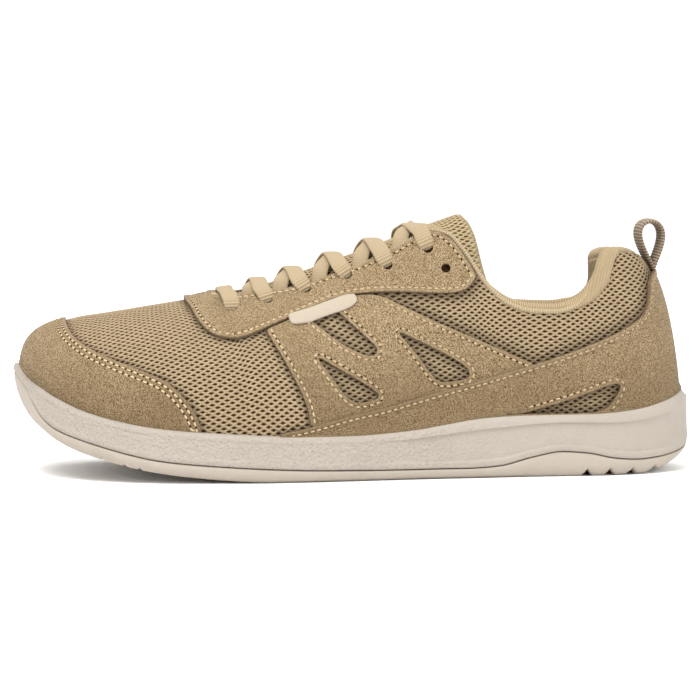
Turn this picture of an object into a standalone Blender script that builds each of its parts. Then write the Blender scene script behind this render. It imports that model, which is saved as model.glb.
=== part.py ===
"""Left barefoot shoe: a mesh upper with suede panels and a padded collar, on a cupped rubber sole.

Metres, +Z up. The toe points to -X, the outer (lateral) side faces -Y, and the origin is on the floor
under the middle of the sole. Tables hold shares of the named sizes, a row for each place along the shoe.
"""

import math

import bmesh
import bpy
import numpy as np
from mathutils import Vector
from mathutils.bvhtree import BVHTree

# Driving sizes
SHOE_LENGTH = 0.285
BALL_WIDTH = 0.106
INSTEP_HEIGHT = 0.104
TOE_SPRING = 0.033
RIM_HEIGHT = 0.0262
SEAM_HEIGHT = 0.0104

# Sole
OUTSOLE_LAYER = 0.0035
MIDSOLE_LAYER = 0.0040
INSOLE_LAYER = 0.0035
TREAD_INSET = 0.0050
OUTSOLE_LIP = 0.0036
RIM_INSET = 0.0040
END_ROUNDING = 0.0010
FEATHER_INSET = 0.0062
SIDE_PANEL_DEPTH = 0.0006
SIDE_LIP_HEIGHT = 0.0022
CLEARANCE = 0.0003
SEAM_GAP = 0.0005

# Upper
MESH_WALL = 0.0024
COLLAR_PADDING = 0.0052
SUEDE_LAYER = 0.0013
INSOLE_GAP = 0.0006
EYELET_RADIUS = 0.0019

# Tongue, laces, pull loop and side tab
TONGUE_LAYER = 0.0050
LACE_WIDTH = 0.0072
LACE_THICKNESS = 0.0018
LOOP_WIDTH = 0.0120
LOOP_THICKNESS = 0.0019
LOOP_HEIGHT = 0.0190
LOOP_SPREAD = 0.0100
TAB_THICKNESS = 0.0016

# Heel and toe grooves of the tread
HEEL_GROOVE_DEPTH = 0.0032
HEEL_GROOVE_WIDTH = 0.0050
TOE_GROOVE_DEPTH = 0.0012
TOE_GROOVE_WIDTH = 0.0022

# How finely the forms are cut
VAMP_STATIONS = 12
QUARTER_STATIONS = 21
BODY_ROWS = 6
SKIRT_ROWS = 2

LATERAL = -1
MEDIAL = 1


def table(columns, *rows):
    """A short table with named columns."""
    return {name: np.array([row[k] for row in rows], float) for k, name in enumerate(columns.split())}


def read(source, column, at, key=None, level_ends=False):
    """A smooth value of one column, without overshoot between rows."""
    keys = source[key or next(iter(source))]
    values = source[column]
    at = np.clip(np.asarray(at, float), keys[0], keys[-1])
    step = np.diff(keys)
    slope = np.diff(values) / step
    tangent = np.zeros(len(keys))
    same_way = slope[:-1] * slope[1:] > 0
    safe = np.where(same_way, slope[:-1] + slope[1:], 1.0)
    tangent[1:-1] = np.where(same_way, 2 * slope[:-1] * slope[1:] / safe, 0.0)
    if not level_ends:
        tangent[0], tangent[-1] = slope[0], slope[-1]
    k = np.clip(np.searchsorted(keys, at, side="right") - 1, 0, len(step) - 1)
    u = (at - keys[k]) / step[k]
    return (
        (2 * u**3 - 3 * u**2 + 1) * values[k]
        + (u**3 - 2 * u**2 + u) * step[k] * tangent[k]
        + (3 * u**2 - 2 * u**3) * values[k + 1]
        + (u**3 - u**2) * step[k] * tangent[k + 1]
    )


def smoothstep(low, high, value):
    u = np.clip((np.asarray(value, float) - low) / (high - low), 0, 1)
    return u * u * (3 - 2 * u)


# Plan of the sole: along in shares of SHOE_LENGTH, the rest in shares of BALL_WIDTH
OUTLINE = table(
    "along middle half",
    (0.00, 0.085, 0.500),
    (0.07, 0.040, 0.500),
    (0.14, 0.020, 0.498),
    (0.25, 0.004, 0.500),
    (0.33, -0.006, 0.497),
    (0.42, -0.024, 0.462),
    (0.53, -0.034, 0.402),
    (0.64, -0.030, 0.362),
    (0.75, -0.014, 0.350),
    (0.85, 0.000, 0.352),
    (1.00, 0.008, 0.350),
)
TOE_ROUND_SHARE = 0.27
TOE_ROUND_POWER = 2.35
HEEL_ROUND_SHARE = 0.19
HEEL_ROUND_POWER = 2.15

# Heights along the sole: bottom in shares of TOE_SPRING, seam of SEAM_HEIGHT, rim of RIM_HEIGHT
SOLE = table(
    "along bottom",
    (0.000, 1.000),
    (0.003, 0.880),
    (0.010, 0.767),
    (0.017, 0.700),
    (0.035, 0.588),
    (0.054, 0.485),
    (0.090, 0.355),
    (0.126, 0.270),
    (0.162, 0.191),
    (0.198, 0.133),
    (0.235, 0.088),
    (0.266, 0.060),
    (0.302, 0.032),
    (0.336, 0.012),
    (0.371, 0.000),
    (0.914, 0.000),
    (0.932, 0.008),
    (0.952, 0.050),
    (0.970, 0.108),
    (0.982, 0.165),
    (0.992, 0.245),
    (1.000, 0.330),
)
SEAM = table(
    "along height",
    (0.000, 4.05),
    (0.006, 3.88),
    (0.018, 3.42),
    (0.027, 2.94),
    (0.041, 2.38),
    (0.059, 2.01),
    (0.090, 1.69),
    (0.126, 1.40),
    (0.162, 1.14),
    (0.198, 0.93),
    (0.235, 0.80),
    (0.302, 0.65),
    (0.368, 0.54),
    (0.436, 0.46),
    (0.576, 0.40),
    (0.656, 0.40),
    (0.701, 0.47),
    (0.751, 0.80),
    (0.794, 1.00),
    (0.831, 0.93),
    (0.876, 0.69),
    (0.912, 0.615),
    (0.941, 0.66),
    (0.978, 0.83),
    (1.000, 1.06),
)
RIM = table(
    "along height",
    (0.000, 1.730),
    (0.010, 1.600),
    (0.018, 1.515),
    (0.033, 1.425),
    (0.051, 1.310),
    (0.069, 1.228),
    (0.091, 1.130),
    (0.127, 1.018),
    (0.163, 0.935),
    (0.199, 0.872),
    (0.235, 0.830),
    (0.326, 0.763),
    (0.416, 0.722),
    (0.486, 0.722),
    (0.546, 0.758),
    (0.585, 0.800),
    (0.630, 0.880),
    (0.676, 0.955),
    (0.736, 0.990),
    (0.848, 1.000),
    (0.911, 1.055),
    (0.958, 1.160),
    (1.000, 1.290),
)

# Top edge of the body: where it lies for each place along the feather edge.
# foot and along in shares of SHOE_LENGTH, gap in shares of BALL_WIDTH, height of INSTEP_HEIGHT.
TOPLINE = table(
    "foot along gap height",
    (0.000, 0.076, 0.000, 0.610),
    (0.070, 0.100, 0.000, 0.626),
    (0.140, 0.146, 0.000, 0.645),
    (0.210, 0.198, 0.000, 0.668),
    (0.280, 0.254, 0.000, 0.694),
    (0.330, 0.292, 0.000, 0.714),
    (0.358, 0.310, 0.115, 0.702),
    (0.414, 0.358, 0.140, 0.722),
    (0.470, 0.414, 0.152, 0.752),
    (0.519, 0.461, 0.160, 0.796),
    (0.561, 0.506, 0.168, 0.842),
    (0.596, 0.548, 0.176, 0.895),
    (0.625, 0.584, 0.184, 0.950),
    (0.646, 0.609, 0.194, 0.979),
    (0.663, 0.631, 0.208, 0.966),
    (0.681, 0.653, 0.232, 0.904),
    (0.698, 0.675, 0.258, 0.812),
    (0.716, 0.695, 0.280, 0.742),
    (0.737, 0.719, 0.300, 0.690),
    (0.765, 0.750, 0.312, 0.663),
    (0.796, 0.784, 0.312, 0.659),
    (0.828, 0.814, 0.304, 0.678),
    (0.860, 0.836, 0.293, 0.742),
    (0.888, 0.852, 0.280, 0.826),
    (0.916, 0.870, 0.252, 0.884),
    (0.944, 0.896, 0.200, 0.890),
    (0.972, 0.918, 0.112, 0.876),
    (1.000, 0.926, 0.000, 0.868),
)
THROAT_FOOT = 0.330
COLLAR_FOOT = 0.737
RIDGE_SHIFT = table("along middle", (0.00, 0.060), (0.20, 0.030), (0.45, 0.005), (1.00, 0.005))

# Shape of the side between rim and top edge, for each place along the feather edge.
# rise is a share of the height, run of the distance, lean and fall in degrees.
SECTION = table(
    "foot rise lean run fall",
    (0.00, 0.62, -4.0, 0.46, 0.0),
    (0.07, 0.60, 0.0, 0.46, 0.0),
    (0.20, 0.60, 3.0, 0.46, 0.0),
    (0.33, 0.56, 1.0, 0.42, 4.0),
    (0.42, 0.46, -4.0, 0.34, 22.0),
    (0.52, 0.38, -7.0, 0.30, 36.0),
    (0.62, 0.34, -8.0, 0.30, 50.0),
    (0.70, 0.34, -5.0, 0.30, 66.0),
    (0.78, 0.34, -1.0, 0.30, 84.0),
    (0.88, 0.30, 1.0, 0.28, 80.0),
    (1.00, 0.28, -5.0, 0.25, 42.0),
)

# Crest of the tongue, for each place along the feather edge
CREST = table(
    "foot along height",
    (0.358, 0.302, 0.708),
    (0.414, 0.353, 0.742),
    (0.470, 0.408, 0.790),
    (0.519, 0.454, 0.835),
    (0.561, 0.498, 0.876),
    (0.596, 0.536, 0.912),
    (0.625, 0.569, 0.946),
    (0.646, 0.592, 0.971),
    (0.663, 0.609, 0.990),
    (0.681, 0.625, 1.007),
    (0.698, 0.639, 1.021),
    (0.716, 0.651, 1.032),
    (0.737, 0.663, 1.040),
)

# Panels, as outlines on the side view: along in shares of SHOE_LENGTH, height of INSTEP_HEIGHT
TOE_CAP = (
    (-0.05, 0.10), (-0.05, 0.90), (0.074, 0.90), (0.078, 0.592), (0.087, 0.559), (0.110, 0.513),
    (0.153, 0.468), (0.184, 0.438), (0.216, 0.404), (0.235, 0.362), (0.250, 0.317), (0.262, 0.262),
    (0.268, 0.216), (0.268, 0.10),
)
EYESTAY = (
    (0.251, 0.95), (0.251, 0.690), (0.256, 0.645), (0.264, 0.614), (0.279, 0.578), (0.300, 0.557),
    (0.321, 0.556), (0.340, 0.570), (0.395, 0.626), (0.440, 0.678), (0.480, 0.717), (0.523, 0.733),
    (0.573, 0.735), (0.615, 0.730), (0.643, 0.732), (0.659, 0.750), (0.670, 0.800), (0.660, 0.900),
    (0.630, 1.10), (0.560, 1.10),
)
SADDLE = (
    (0.362, 0.582), (0.379, 0.514), (0.394, 0.442), (0.410, 0.357), (0.421, 0.285), (0.425, 0.232),
    (0.452, 0.252), (0.484, 0.273), (0.530, 0.295), (0.590, 0.342), (0.661, 0.391), (0.752, 0.466),
    (0.700, 0.515), (0.602, 0.632), (0.526, 0.722), (0.482, 0.705), (0.442, 0.667), (0.397, 0.614),
)
SADDLE_WINDOWS = (
    ((0.434, 0.611), (0.474, 0.650), (0.522, 0.512), (0.522, 0.492), (0.512, 0.482), (0.480, 0.522), (0.458, 0.563)),
    ((0.434, 0.490), (0.471, 0.430), (0.501, 0.385), (0.527, 0.334), (0.523, 0.320), (0.497, 0.304), (0.485, 0.313),
     (0.474, 0.340), (0.456, 0.407)),
    ((0.553, 0.586), (0.614, 0.506), (0.650, 0.451), (0.661, 0.414), (0.656, 0.394), (0.630, 0.383), (0.614, 0.382),
     (0.603, 0.410), (0.580, 0.500)),
)
COUNTER = (
    (0.378, 0.10), (0.378, 0.195), (0.409, 0.207), (0.455, 0.238), (0.484, 0.259), (0.530, 0.281),
    (0.590, 0.328), (0.661, 0.377), (0.722, 0.425), (0.792, 0.481), (0.858, 0.547), (0.893, 0.593),
    (0.915, 0.630), (0.924, 0.670), (0.928, 0.730), (0.940, 0.785), (1.05, 0.785), (1.05, 0.10),
)
COUNTER_WINDOW = (
    (0.700, 0.15), (0.714, 0.236), (0.734, 0.252), (0.763, 0.272), (0.796, 0.298), (0.822, 0.320), (0.862, 0.361),
    (0.878, 0.371), (0.882, 0.352), (0.870, 0.300), (0.852, 0.240), (0.845, 0.15),
)
SIDE_TAB = ((0.396, 0.636), (0.401, 0.606), (0.501, 0.705), (0.495, 0.732))

# Eyelets on each side: along in shares of SHOE_LENGTH, height of INSTEP_HEIGHT. The last one is not laced.
EYELETS = table(
    "along height",
    (0.317, 0.665),
    (0.370, 0.695),
    (0.427, 0.738),
    (0.487, 0.793),
    (0.545, 0.836),
    (0.603, 0.905),
    (0.627, 0.829),
)
LACED_ROWS = 6

# Where grooves cross the tread, in shares of SHOE_LENGTH
HEEL_GROOVES = (0.833, 0.868, 0.903, 0.938)
TOE_GROOVES = (0.123, 0.155, 0.177)


def angle_of(share):
    """Ring position, 0 at the toe tip to 1 at the heel, of a share of the length."""
    return np.arccos(1 - 2 * np.asarray(share, float)) / math.pi


def share_of(ring):
    return (1 - np.cos(math.pi * np.asarray(ring, float))) / 2


def by_ring(source):
    """The same table with its foot column turned into ring positions."""
    return {name: angle_of(values) if name == "foot" else values for name, values in source.items()}


TOPLINE_RING = by_ring(TOPLINE)
SECTION_RING = by_ring(SECTION)
CREST_RING = by_ring(CREST)


def end_rounding(share, reach, power):
    near = np.clip(1 - share / reach, 0, 1)
    return (1 - near**power) ** (1 / power)


def raw_loop(ring):
    """Plan points of the sole for ring positions from -1 (heel) by the lateral side, 0 (toe), to 1 (heel)."""
    ring = (np.asarray(ring, float) + 1) % 2 - 1
    share = share_of(ring)
    half = read(OUTLINE, "half", share)
    half = half * end_rounding(share, TOE_ROUND_SHARE, TOE_ROUND_POWER)
    half = half * end_rounding(1 - share, HEEL_ROUND_SHARE, HEEL_ROUND_POWER)
    across = read(OUTLINE, "middle", share) + np.where(ring < 0, LATERAL, MEDIAL) * half
    return np.stack([(share - 0.5), across], axis=-1)


def widest():
    across = raw_loop(np.linspace(-1, 1, 4001))[:, 1]
    return across.min(), across.max()


ACROSS_LOW, ACROSS_HIGH = widest()


def loop(ring, inset=0.0):
    """The sole's outline in metres, moved inwards by inset."""

    def outer(at):
        points = raw_loop(at)
        across = (points[:, 1] - (ACROSS_LOW + ACROSS_HIGH) / 2) / (ACROSS_HIGH - ACROSS_LOW)
        return np.stack([points[:, 0] * SHOE_LENGTH, across * BALL_WIDTH], axis=-1)

    ring = np.asarray(ring, float)
    nudge = 2e-3
    along = outer(ring + nudge) - outer(ring - nudge)
    outward = np.stack([-along[:, 1], along[:, 0]], axis=-1)
    outward /= np.linalg.norm(outward, axis=1)[:, None]
    return outer(ring) - outward * np.reshape(inset, (-1, 1)), outward


def along_share(x):
    return x / SHOE_LENGTH + 0.5


def bottom_height(x):
    return read(SOLE, "bottom", along_share(x)) * TOE_SPRING


def seam_height(x):
    """Height of the seam between outsole and midsole on the side."""
    return np.maximum(read(SEAM, "height", along_share(x)) * SEAM_HEIGHT, bottom_height(x) + 0.6 * OUTSOLE_LAYER)


def rim_inset(x, inset):
    """An inset near the rim, a little more at the toe and the heel."""
    share = along_share(x)
    return inset + END_ROUNDING * (1 - smoothstep(0.0, 0.10, share) + smoothstep(0.93, 1.0, share))


def rim_height(x):
    return read(RIM, "height", along_share(x)) * RIM_HEIGHT


def bed_height(x):
    """Height of the floor inside the cupped sole."""
    return bottom_height(x) + OUTSOLE_LAYER + CLEARANCE + MIDSOLE_LAYER


def ring_positions():
    """Ring positions round the shoe, toe, lateral side, heel, medial side, and how many lie on each half."""
    throat = angle_of(THROAT_FOOT)
    half = np.concatenate(
        [
            np.linspace(0, throat, VAMP_STATIONS, endpoint=False),
            np.linspace(throat, 1, QUARTER_STATIONS + 1),
        ]
    )
    return np.concatenate([-half, half[-2:0:-1]]), len(half) - 1


RING, HALF = ring_positions()


def plan_points(ring, inset, rounded=False):
    """Plan of a ring at an inset, and its outward directions. A rounded ring lies deeper at toe and heel."""
    plan, outward = loop(ring, inset)
    return loop(ring, rim_inset(plan[:, 0], inset)) if rounded else (plan, outward)


def ring_points(inset, height, rounded=False, level=False):
    """One closed ring of points at an inset. A level ring takes its heights where it lies, the others at the
    outline of the sole, so that the side's steps stay flat from side to side."""
    plan, _ = plan_points(RING, inset, rounded)
    return np.column_stack([plan, height(plan[:, 0] if level else loop(RING)[0][:, 0])])


def top_edge(ring):
    """Top edge of the body and its slope along the shoe."""
    foot = np.abs(ring)
    along = read(TOPLINE_RING, "along", foot)
    height = read(TOPLINE_RING, "height", foot)
    gap = read(TOPLINE_RING, "gap", foot) * BALL_WIDTH
    across = read(RIDGE_SHIFT, "middle", along) * BALL_WIDTH + np.where(ring < 0, LATERAL, MEDIAL) * gap
    across = np.where(foot > angle_of(THROAT_FOOT) + 1e-6, across, read(RIDGE_SHIFT, "middle", along) * BALL_WIDTH)
    points = np.column_stack([(along - 0.5) * SHOE_LENGTH, across, height * INSTEP_HEIGHT])
    step = 0.01
    ahead = np.clip(foot + step, 0, angle_of(THROAT_FOOT))
    behind = np.clip(foot - step, 0, angle_of(THROAT_FOOT) - step)
    rise = (read(TOPLINE_RING, "height", ahead) - read(TOPLINE_RING, "height", behind)) * INSTEP_HEIGHT
    run = (read(TOPLINE_RING, "along", ahead) - read(TOPLINE_RING, "along", behind)) * SHOE_LENGTH
    return points, rise / run


def body_points(ring=RING, rows=BODY_ROWS):
    """The body's outer surface, as an array of ring position, row and xyz. Row SKIRT_ROWS is at the rim."""
    rim_plan, outward = plan_points(ring, RIM_INSET, rounded=True)
    rim = np.column_stack([rim_plan, rim_height(loop(ring)[0][:, 0])])
    low_plan, _ = loop(ring, FEATHER_INSET)
    low = np.column_stack([low_plan, bed_height(low_plan[:, 0]) + CLEARANCE])
    knee_plan, _ = plan_points(ring, RIM_INSET + 0.2 * (FEATHER_INSET - RIM_INSET), rounded=True)
    knee = np.column_stack([knee_plan, low[:, 2] + 0.4 * (rim[:, 2] - low[:, 2])])
    top, slope = top_edge(ring)
    foot = np.abs(ring)
    shape = {name: read(SECTION_RING, name, foot, level_ends=True) for name in ("rise", "lean", "run", "fall")}
    lean, fall = np.radians(shape["lean"]), np.radians(shape["fall"])
    height = (top[:, 2] - rim[:, 2])[:, None]
    reach = np.linalg.norm(top - rim, axis=1)[:, None]
    up = np.zeros((len(ring), 3))
    up[:, 2] = 1.0
    out = np.column_stack([outward, np.zeros(len(ring))])
    out_top = np.column_stack([outward, slope * outward[:, 0]])
    first = rim + shape["rise"][:, None] * height * (up * np.cos(lean)[:, None] + out * np.sin(lean)[:, None])
    last = top + shape["run"][:, None] * reach * (out_top * np.cos(fall)[:, None] - up * np.sin(fall)[:, None])
    surface = [low, knee]
    for u in np.linspace(0, 1, rows + 1):
        surface.append(
            (1 - u) ** 3 * rim + 3 * (1 - u) ** 2 * u * first + 3 * (1 - u) * u**2 * last + u**3 * top
        )
    return np.stack(surface, axis=1)


def two_triangles(a, b, c, d):
    """A four-cornered face as two triangles, so that layers over it stay parallel."""
    return [(int(a), int(b), int(c)), (int(a), int(c), int(d))]


class Surface:
    """A grid round the shoe as one open mesh: the two halves of the vamp share their points on the ridge."""

    def __init__(self, grid, joined=VAMP_STATIONS):
        count, rows = grid.shape[:2]
        index = np.arange(count * rows).reshape(count, rows)
        for k in range(1, joined + 1):
            index[count - k, -1] = index[k, -1]
        self.used, inverse = np.unique(index, return_inverse=True)
        self.index = inverse.reshape(count, rows)
        self.points = grid.reshape(-1, 3)[self.used]
        self.faces = []
        for k in range(count):
            n = (k + 1) % count
            for r in range(rows - 1):
                self.faces += two_triangles(self.index[k, r], self.index[n, r], self.index[n, r + 1], self.index[k, r + 1])
        self.normals = vertex_normals(self.points, self.faces)

    def flat(self, grid):
        """Per-point values of another grid of the same layout."""
        return grid.reshape(-1, *grid.shape[2:])[self.used]


def vertex_normals(points, faces):
    normals = np.zeros_like(points)
    corners = np.array(faces)
    a, b, c = (points[corners[:, k]] for k in range(3))
    cross = np.cross(b - a, c - a)
    for k in range(3):
        np.add.at(normals, corners[:, k], cross)
    return normals / np.maximum(np.linalg.norm(normals, axis=1), 1e-12)[:, None]


def boundary_edges(faces):
    """Directed edges that only one face uses."""
    seen = {}
    for face in faces:
        for a, b in zip(face, face[1:] + face[:1]):
            seen[(a, b)] = True
    return [(a, b) for a, b in seen if (b, a) not in seen]


def thicken(points, faces, low, high, middle=None):
    """A closed shell between two copies of an open surface. middle is a third copy for the wall of its edges."""
    count = len(points)
    faces = [tuple(int(i) for i in face) for face in faces]
    made = list(faces) + [tuple(i + count for i in reversed(face)) for face in faces]
    vertices = np.concatenate([high, low] + ([middle] if middle is not None else []))
    for a, b in boundary_edges(faces):
        if middle is None:
            made.append((b, a, a + count, b + count))
        else:
            made.append((b, a, a + 2 * count, b + 2 * count))
            made.append((b + 2 * count, a + 2 * count, a + count, b + count))
    return vertices, made


def make_mesh(name, vertices, faces, finish=None):
    """An object from points and faces, with unused points dropped and faces turned outwards."""
    mesh = bpy.data.meshes.new(name)
    mesh.from_pydata([tuple(map(float, v)) for v in vertices], [], [tuple(map(int, f)) for f in faces])
    work = bmesh.new()
    work.from_mesh(mesh)
    bmesh.ops.remove_doubles(work, verts=work.verts, dist=1e-7)
    bmesh.ops.delete(work, geom=[v for v in work.verts if not v.link_faces], context="VERTS")
    bmesh.ops.recalc_face_normals(work, faces=work.faces)
    if work.calc_volume(signed=True) < 0:
        bmesh.ops.reverse_faces(work, faces=work.faces)
    work.to_mesh(mesh)
    work.free()
    mesh.shade_smooth()
    mesh.set_sharp_from_angle(angle=math.radians(40))
    obj = bpy.data.objects.new(name, mesh)
    bpy.context.scene.collection.objects.link(obj)
    if finish is not None:
        mesh.materials.append(finish)
        obj.parent = bpy.data.objects["shoe"]
    return obj


def finish(name, colour, roughness):
    material = bpy.data.materials.new(name)
    material.use_nodes = True
    shader = material.node_tree.nodes["Principled BSDF"]
    shader.inputs["Base Color"].default_value = (*colour, 1.0)
    shader.inputs["Roughness"].default_value = roughness
    shader.inputs["Metallic"].default_value = 0.0
    return material


def combine(obj, tool, operation):
    """Cuts, joins or intersects obj with tool, and removes the tool."""
    modifier = obj.modifiers.new("combine", "BOOLEAN")
    modifier.operation = operation
    modifier.solver = "EXACT"
    modifier.object = tool
    bpy.context.view_layer.update()
    result = bpy.data.meshes.new_from_object(obj.evaluated_get(bpy.context.evaluated_depsgraph_get()))
    obj.modifiers.remove(modifier)
    result.name = obj.data.name
    obj.data = result
    bpy.data.objects.remove(tool)
    return obj


def stacked(name, rings, material):
    """A solid through closed rings, closed at the first and last ring by strips across the shoe."""
    count = len(RING)
    vertices = np.concatenate(rings)
    faces = []
    for level in range(len(rings) - 1):
        for k in range(count):
            n = (k + 1) % count
            low, high = level * count, (level + 1) * count
            faces += two_triangles(low + k, low + n, high + n, high + k)
    for level in (0, len(rings) - 1):
        base = level * count
        for k in range(HALF):
            other, other_next = (count - k) % count, (count - k - 1) % count
            strip = list(dict.fromkeys((base + k, base + k + 1, base + other_next, base + other)))
            faces.append(tuple(strip))
    return make_mesh(name, vertices, faces, material)


def groove_tool(along, width, depth):
    """A V-shaped bar across the tread, its point up."""
    x = (along - 0.5) * SHOE_LENGTH
    z = float(bottom_height(np.array([x]))[0])
    slope = float((bottom_height(np.array([x + width])) - bottom_height(np.array([x - width])))[0]) / (2 * width)
    drop = depth
    half_bottom = width / 2 * (depth + drop) / depth
    reach = BALL_WIDTH
    profile = [
        (x - half_bottom, z - drop - slope * half_bottom),
        (x + half_bottom, z - drop + slope * half_bottom),
        (x, z + depth),
    ]
    vertices = [(px, side * reach, pz) for side in (LATERAL, MEDIAL) for px, pz in profile]
    faces = [(0, 1, 2), (5, 4, 3), (0, 3, 4, 1), (1, 4, 5, 2), (2, 5, 3, 0)]
    return make_mesh("groove", vertices, faces)


def between(low, high, share):
    return lambda x: low(x) + share * (high(x) - low(x))


def make_outsole(material):
    """Rubber bottom: flat tread, sides up to the seam and a lip that the midsole sits in."""
    rings = [ring_points(TREAD_INSET, bottom_height, level=True)]
    for inset, share in ((0.0022, 0.16), (0.0006, 0.50), (0.0003, 1.0)):
        rings.append(ring_points(inset, between(bottom_height, seam_height, share)))
    rings.append(ring_points(OUTSOLE_LIP, seam_height))
    rings.append(ring_points(OUTSOLE_LIP + 0.0012, lambda x: bottom_height(x) + OUTSOLE_LAYER, level=True))
    sole = stacked("outsole", rings, material)
    grooves = [(at, HEEL_GROOVE_WIDTH, HEEL_GROOVE_DEPTH) for at in HEEL_GROOVES]
    grooves += [(at, TOE_GROOVE_WIDTH, TOE_GROOVE_DEPTH) for at in TOE_GROOVES]
    for along, width, depth in grooves:
        combine(sole, groove_tool(along, width, depth), "DIFFERENCE")
    return sole


def make_midsole(material, body):
    """Cup of the sole: floor, side wall with its sunk panel, and a rim that hugs the upper."""

    def panel(x):
        share = along_share(x)
        return smoothstep(0.50, 0.60, share) * (1 - smoothstep(0.95, 1.0, share))

    def step(inset, height, depth):
        edge = loop(RING)[0][:, 0]
        return ring_points(inset + depth * panel(edge), height)

    seam = lambda x: seam_height(x) + SEAM_GAP
    lip = lambda x: np.minimum(seam(x) + SIDE_LIP_HEIGHT, 0.5 * (seam(x) + rim_height(x)))
    band = lambda x: rim_height(x) - 0.25 * (rim_height(x) - lip(x))
    inner = OUTSOLE_LIP + 0.0012 + CLEARANCE
    rings = [
        ring_points(inner + 0.0008, lambda x: bottom_height(x) + OUTSOLE_LAYER + CLEARANCE, level=True),
        ring_points(OUTSOLE_LIP + SEAM_GAP, seam),
        ring_points(0.0004, seam),
        step(0.0, lip, 0.0),
        step(0.0003, between(lip, band, 0.08), SIDE_PANEL_DEPTH),
        step(0.0006, between(lip, band, 0.92), SIDE_PANEL_DEPTH),
        step(0.0005, band, 0.0),
        ring_points(0.0012, between(band, rim_height, 0.75), rounded=True),
        ring_points(0.0023, rim_height, rounded=True),
        ring_points(RIM_INSET - CLEARANCE, rim_height, rounded=True),
    ]
    hug = body.points[body.index] + body.normals[body.index] * CLEARANCE
    rings.append(hug[:, 1])
    floor = ring_points(FEATHER_INSET - CLEARANCE, bed_height, level=True)
    rings.append(floor)
    return stacked("midsole", rings, material)


def make_insole(material):
    inset = FEATHER_INSET + MESH_WALL + INSOLE_GAP
    base = lambda x: bed_height(x) + CLEARANCE
    top = lambda x: bed_height(x) + CLEARANCE + INSOLE_LAYER
    rings = [ring_points(inset, base, level=True), ring_points(inset, top, level=True)]
    return stacked("insole", rings, material)


def wall_of(body):
    """Thickness of the body's wall at each point: thin mesh, and padding towards the collar."""
    rows = body.index.shape[1]
    foot = np.abs(RING)[:, None]
    up = np.arange(rows)[None, :] / (rows - 1)
    collar = smoothstep(angle_of(0.655), angle_of(0.735), foot)
    wall = MESH_WALL + COLLAR_PADDING * collar * smoothstep(0.50, 0.92, up)
    return body.flat(wall)


def make_upper(material, body):
    """The hollow body: open at the collar and throat, and underneath."""
    wall = wall_of(body)[:, None]
    inner = body.points - body.normals * wall
    up = np.zeros_like(body.points)
    rows = body.index.shape[1]
    up[body.index[:, -1]] = body.points[body.index[:, -1]] - body.points[body.index[:, rows - 2]]
    up /= np.maximum(np.linalg.norm(up, axis=1), 1e-9)[:, None]
    middle = body.points - body.normals * wall / 2 + up * (wall - MESH_WALL * 0.6) * 0.45
    vertices, faces = thicken(body.points, body.faces, inner, body.points, middle)
    return make_mesh("upper", vertices, faces, material)


def body_tree(body):
    return BVHTree.FromPolygons([Vector(p) for p in body.points], [tuple(map(int, f)) for f in body.faces])


def on_body(tree, side, along, height):
    """Point and outward normal of the body where a line across the shoe meets one side of it."""
    start = Vector(((along - 0.5) * SHOE_LENGTH, side * BALL_WIDTH, height * INSTEP_HEIGHT))
    point, normal, _, _ = tree.ray_cast(start, Vector((0, -side, 0)))
    if normal.y * side < 0:
        normal = -normal
    return np.array(point), np.array(normal)


def prism(outline, across):
    """A bar across the shoe with the given side-view outline, between two across positions."""
    count = len(outline)
    vertices = []
    for y in across:
        vertices += [((along - 0.5) * SHOE_LENGTH, y, height * INSTEP_HEIGHT) for along, height in outline]
    faces = [tuple(range(count)), tuple(range(2 * count - 1, count - 1, -1))]
    for k in range(count):
        n = (k + 1) % count
        faces.append((k, k + count, n + count, n))
    return make_mesh("prism", vertices, faces)


def panel(name, body, outline, material, across, layer=(CLEARANCE, CLEARANCE + SUEDE_LAYER), windows=()):
    """A suede panel: a layer over the body, cut to its outline and windows."""
    above_rim = body.index[:, SKIRT_ROWS:]
    lift = np.zeros_like(body.points)
    lift[body.index[:, SKIRT_ROWS], 2] = CLEARANCE * 1.5
    faces = []
    for here, there in zip(above_rim, np.roll(above_rim, -1, axis=0)):
        for r in range(len(here) - 1):
            faces += two_triangles(here[r], there[r], there[r + 1], here[r + 1])
    base = body.points + lift
    low, high = (base + body.normals * offset for offset in layer)
    vertices, shell_faces = thicken(body.points, faces, low, high)
    piece = make_mesh(name, vertices, shell_faces, material)
    combine(piece, prism(outline, across), "INTERSECT")
    for window in windows:
        combine(piece, prism(window, across), "DIFFERENCE")
    return piece


def rod(start, end, radius, sides=8):
    """A round bar between two points."""
    start, end = Vector(start), Vector(end)
    turn = (end - start).to_track_quat("Z", "Y")
    vertices = []
    for centre in (start, end):
        for k in range(sides):
            angle = 2 * math.pi * k / sides
            vertices.append(centre + turn @ Vector((radius * math.cos(angle), radius * math.sin(angle), 0)))
    faces = [tuple(range(sides)), tuple(range(2 * sides - 1, sides - 1, -1))]
    faces += [(k, k + sides, (k + 1) % sides + sides, (k + 1) % sides) for k in range(sides)]
    return make_mesh("rod", vertices, faces)


def punch_eyelets(pieces, tree):
    """Round holes for the lace through the eyestay and the body."""
    for side in (LATERAL, MEDIAL):
        for along, height in zip(EYELETS["along"], EYELETS["height"]):
            point, normal = on_body(tree, side, along, height)
            reach = 0.5 * MESH_WALL + 4 * SUEDE_LAYER
            for piece in pieces:
                combine(piece, rod(point - normal * reach, point + normal * reach, EYELET_RADIUS), "DIFFERENCE")


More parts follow.
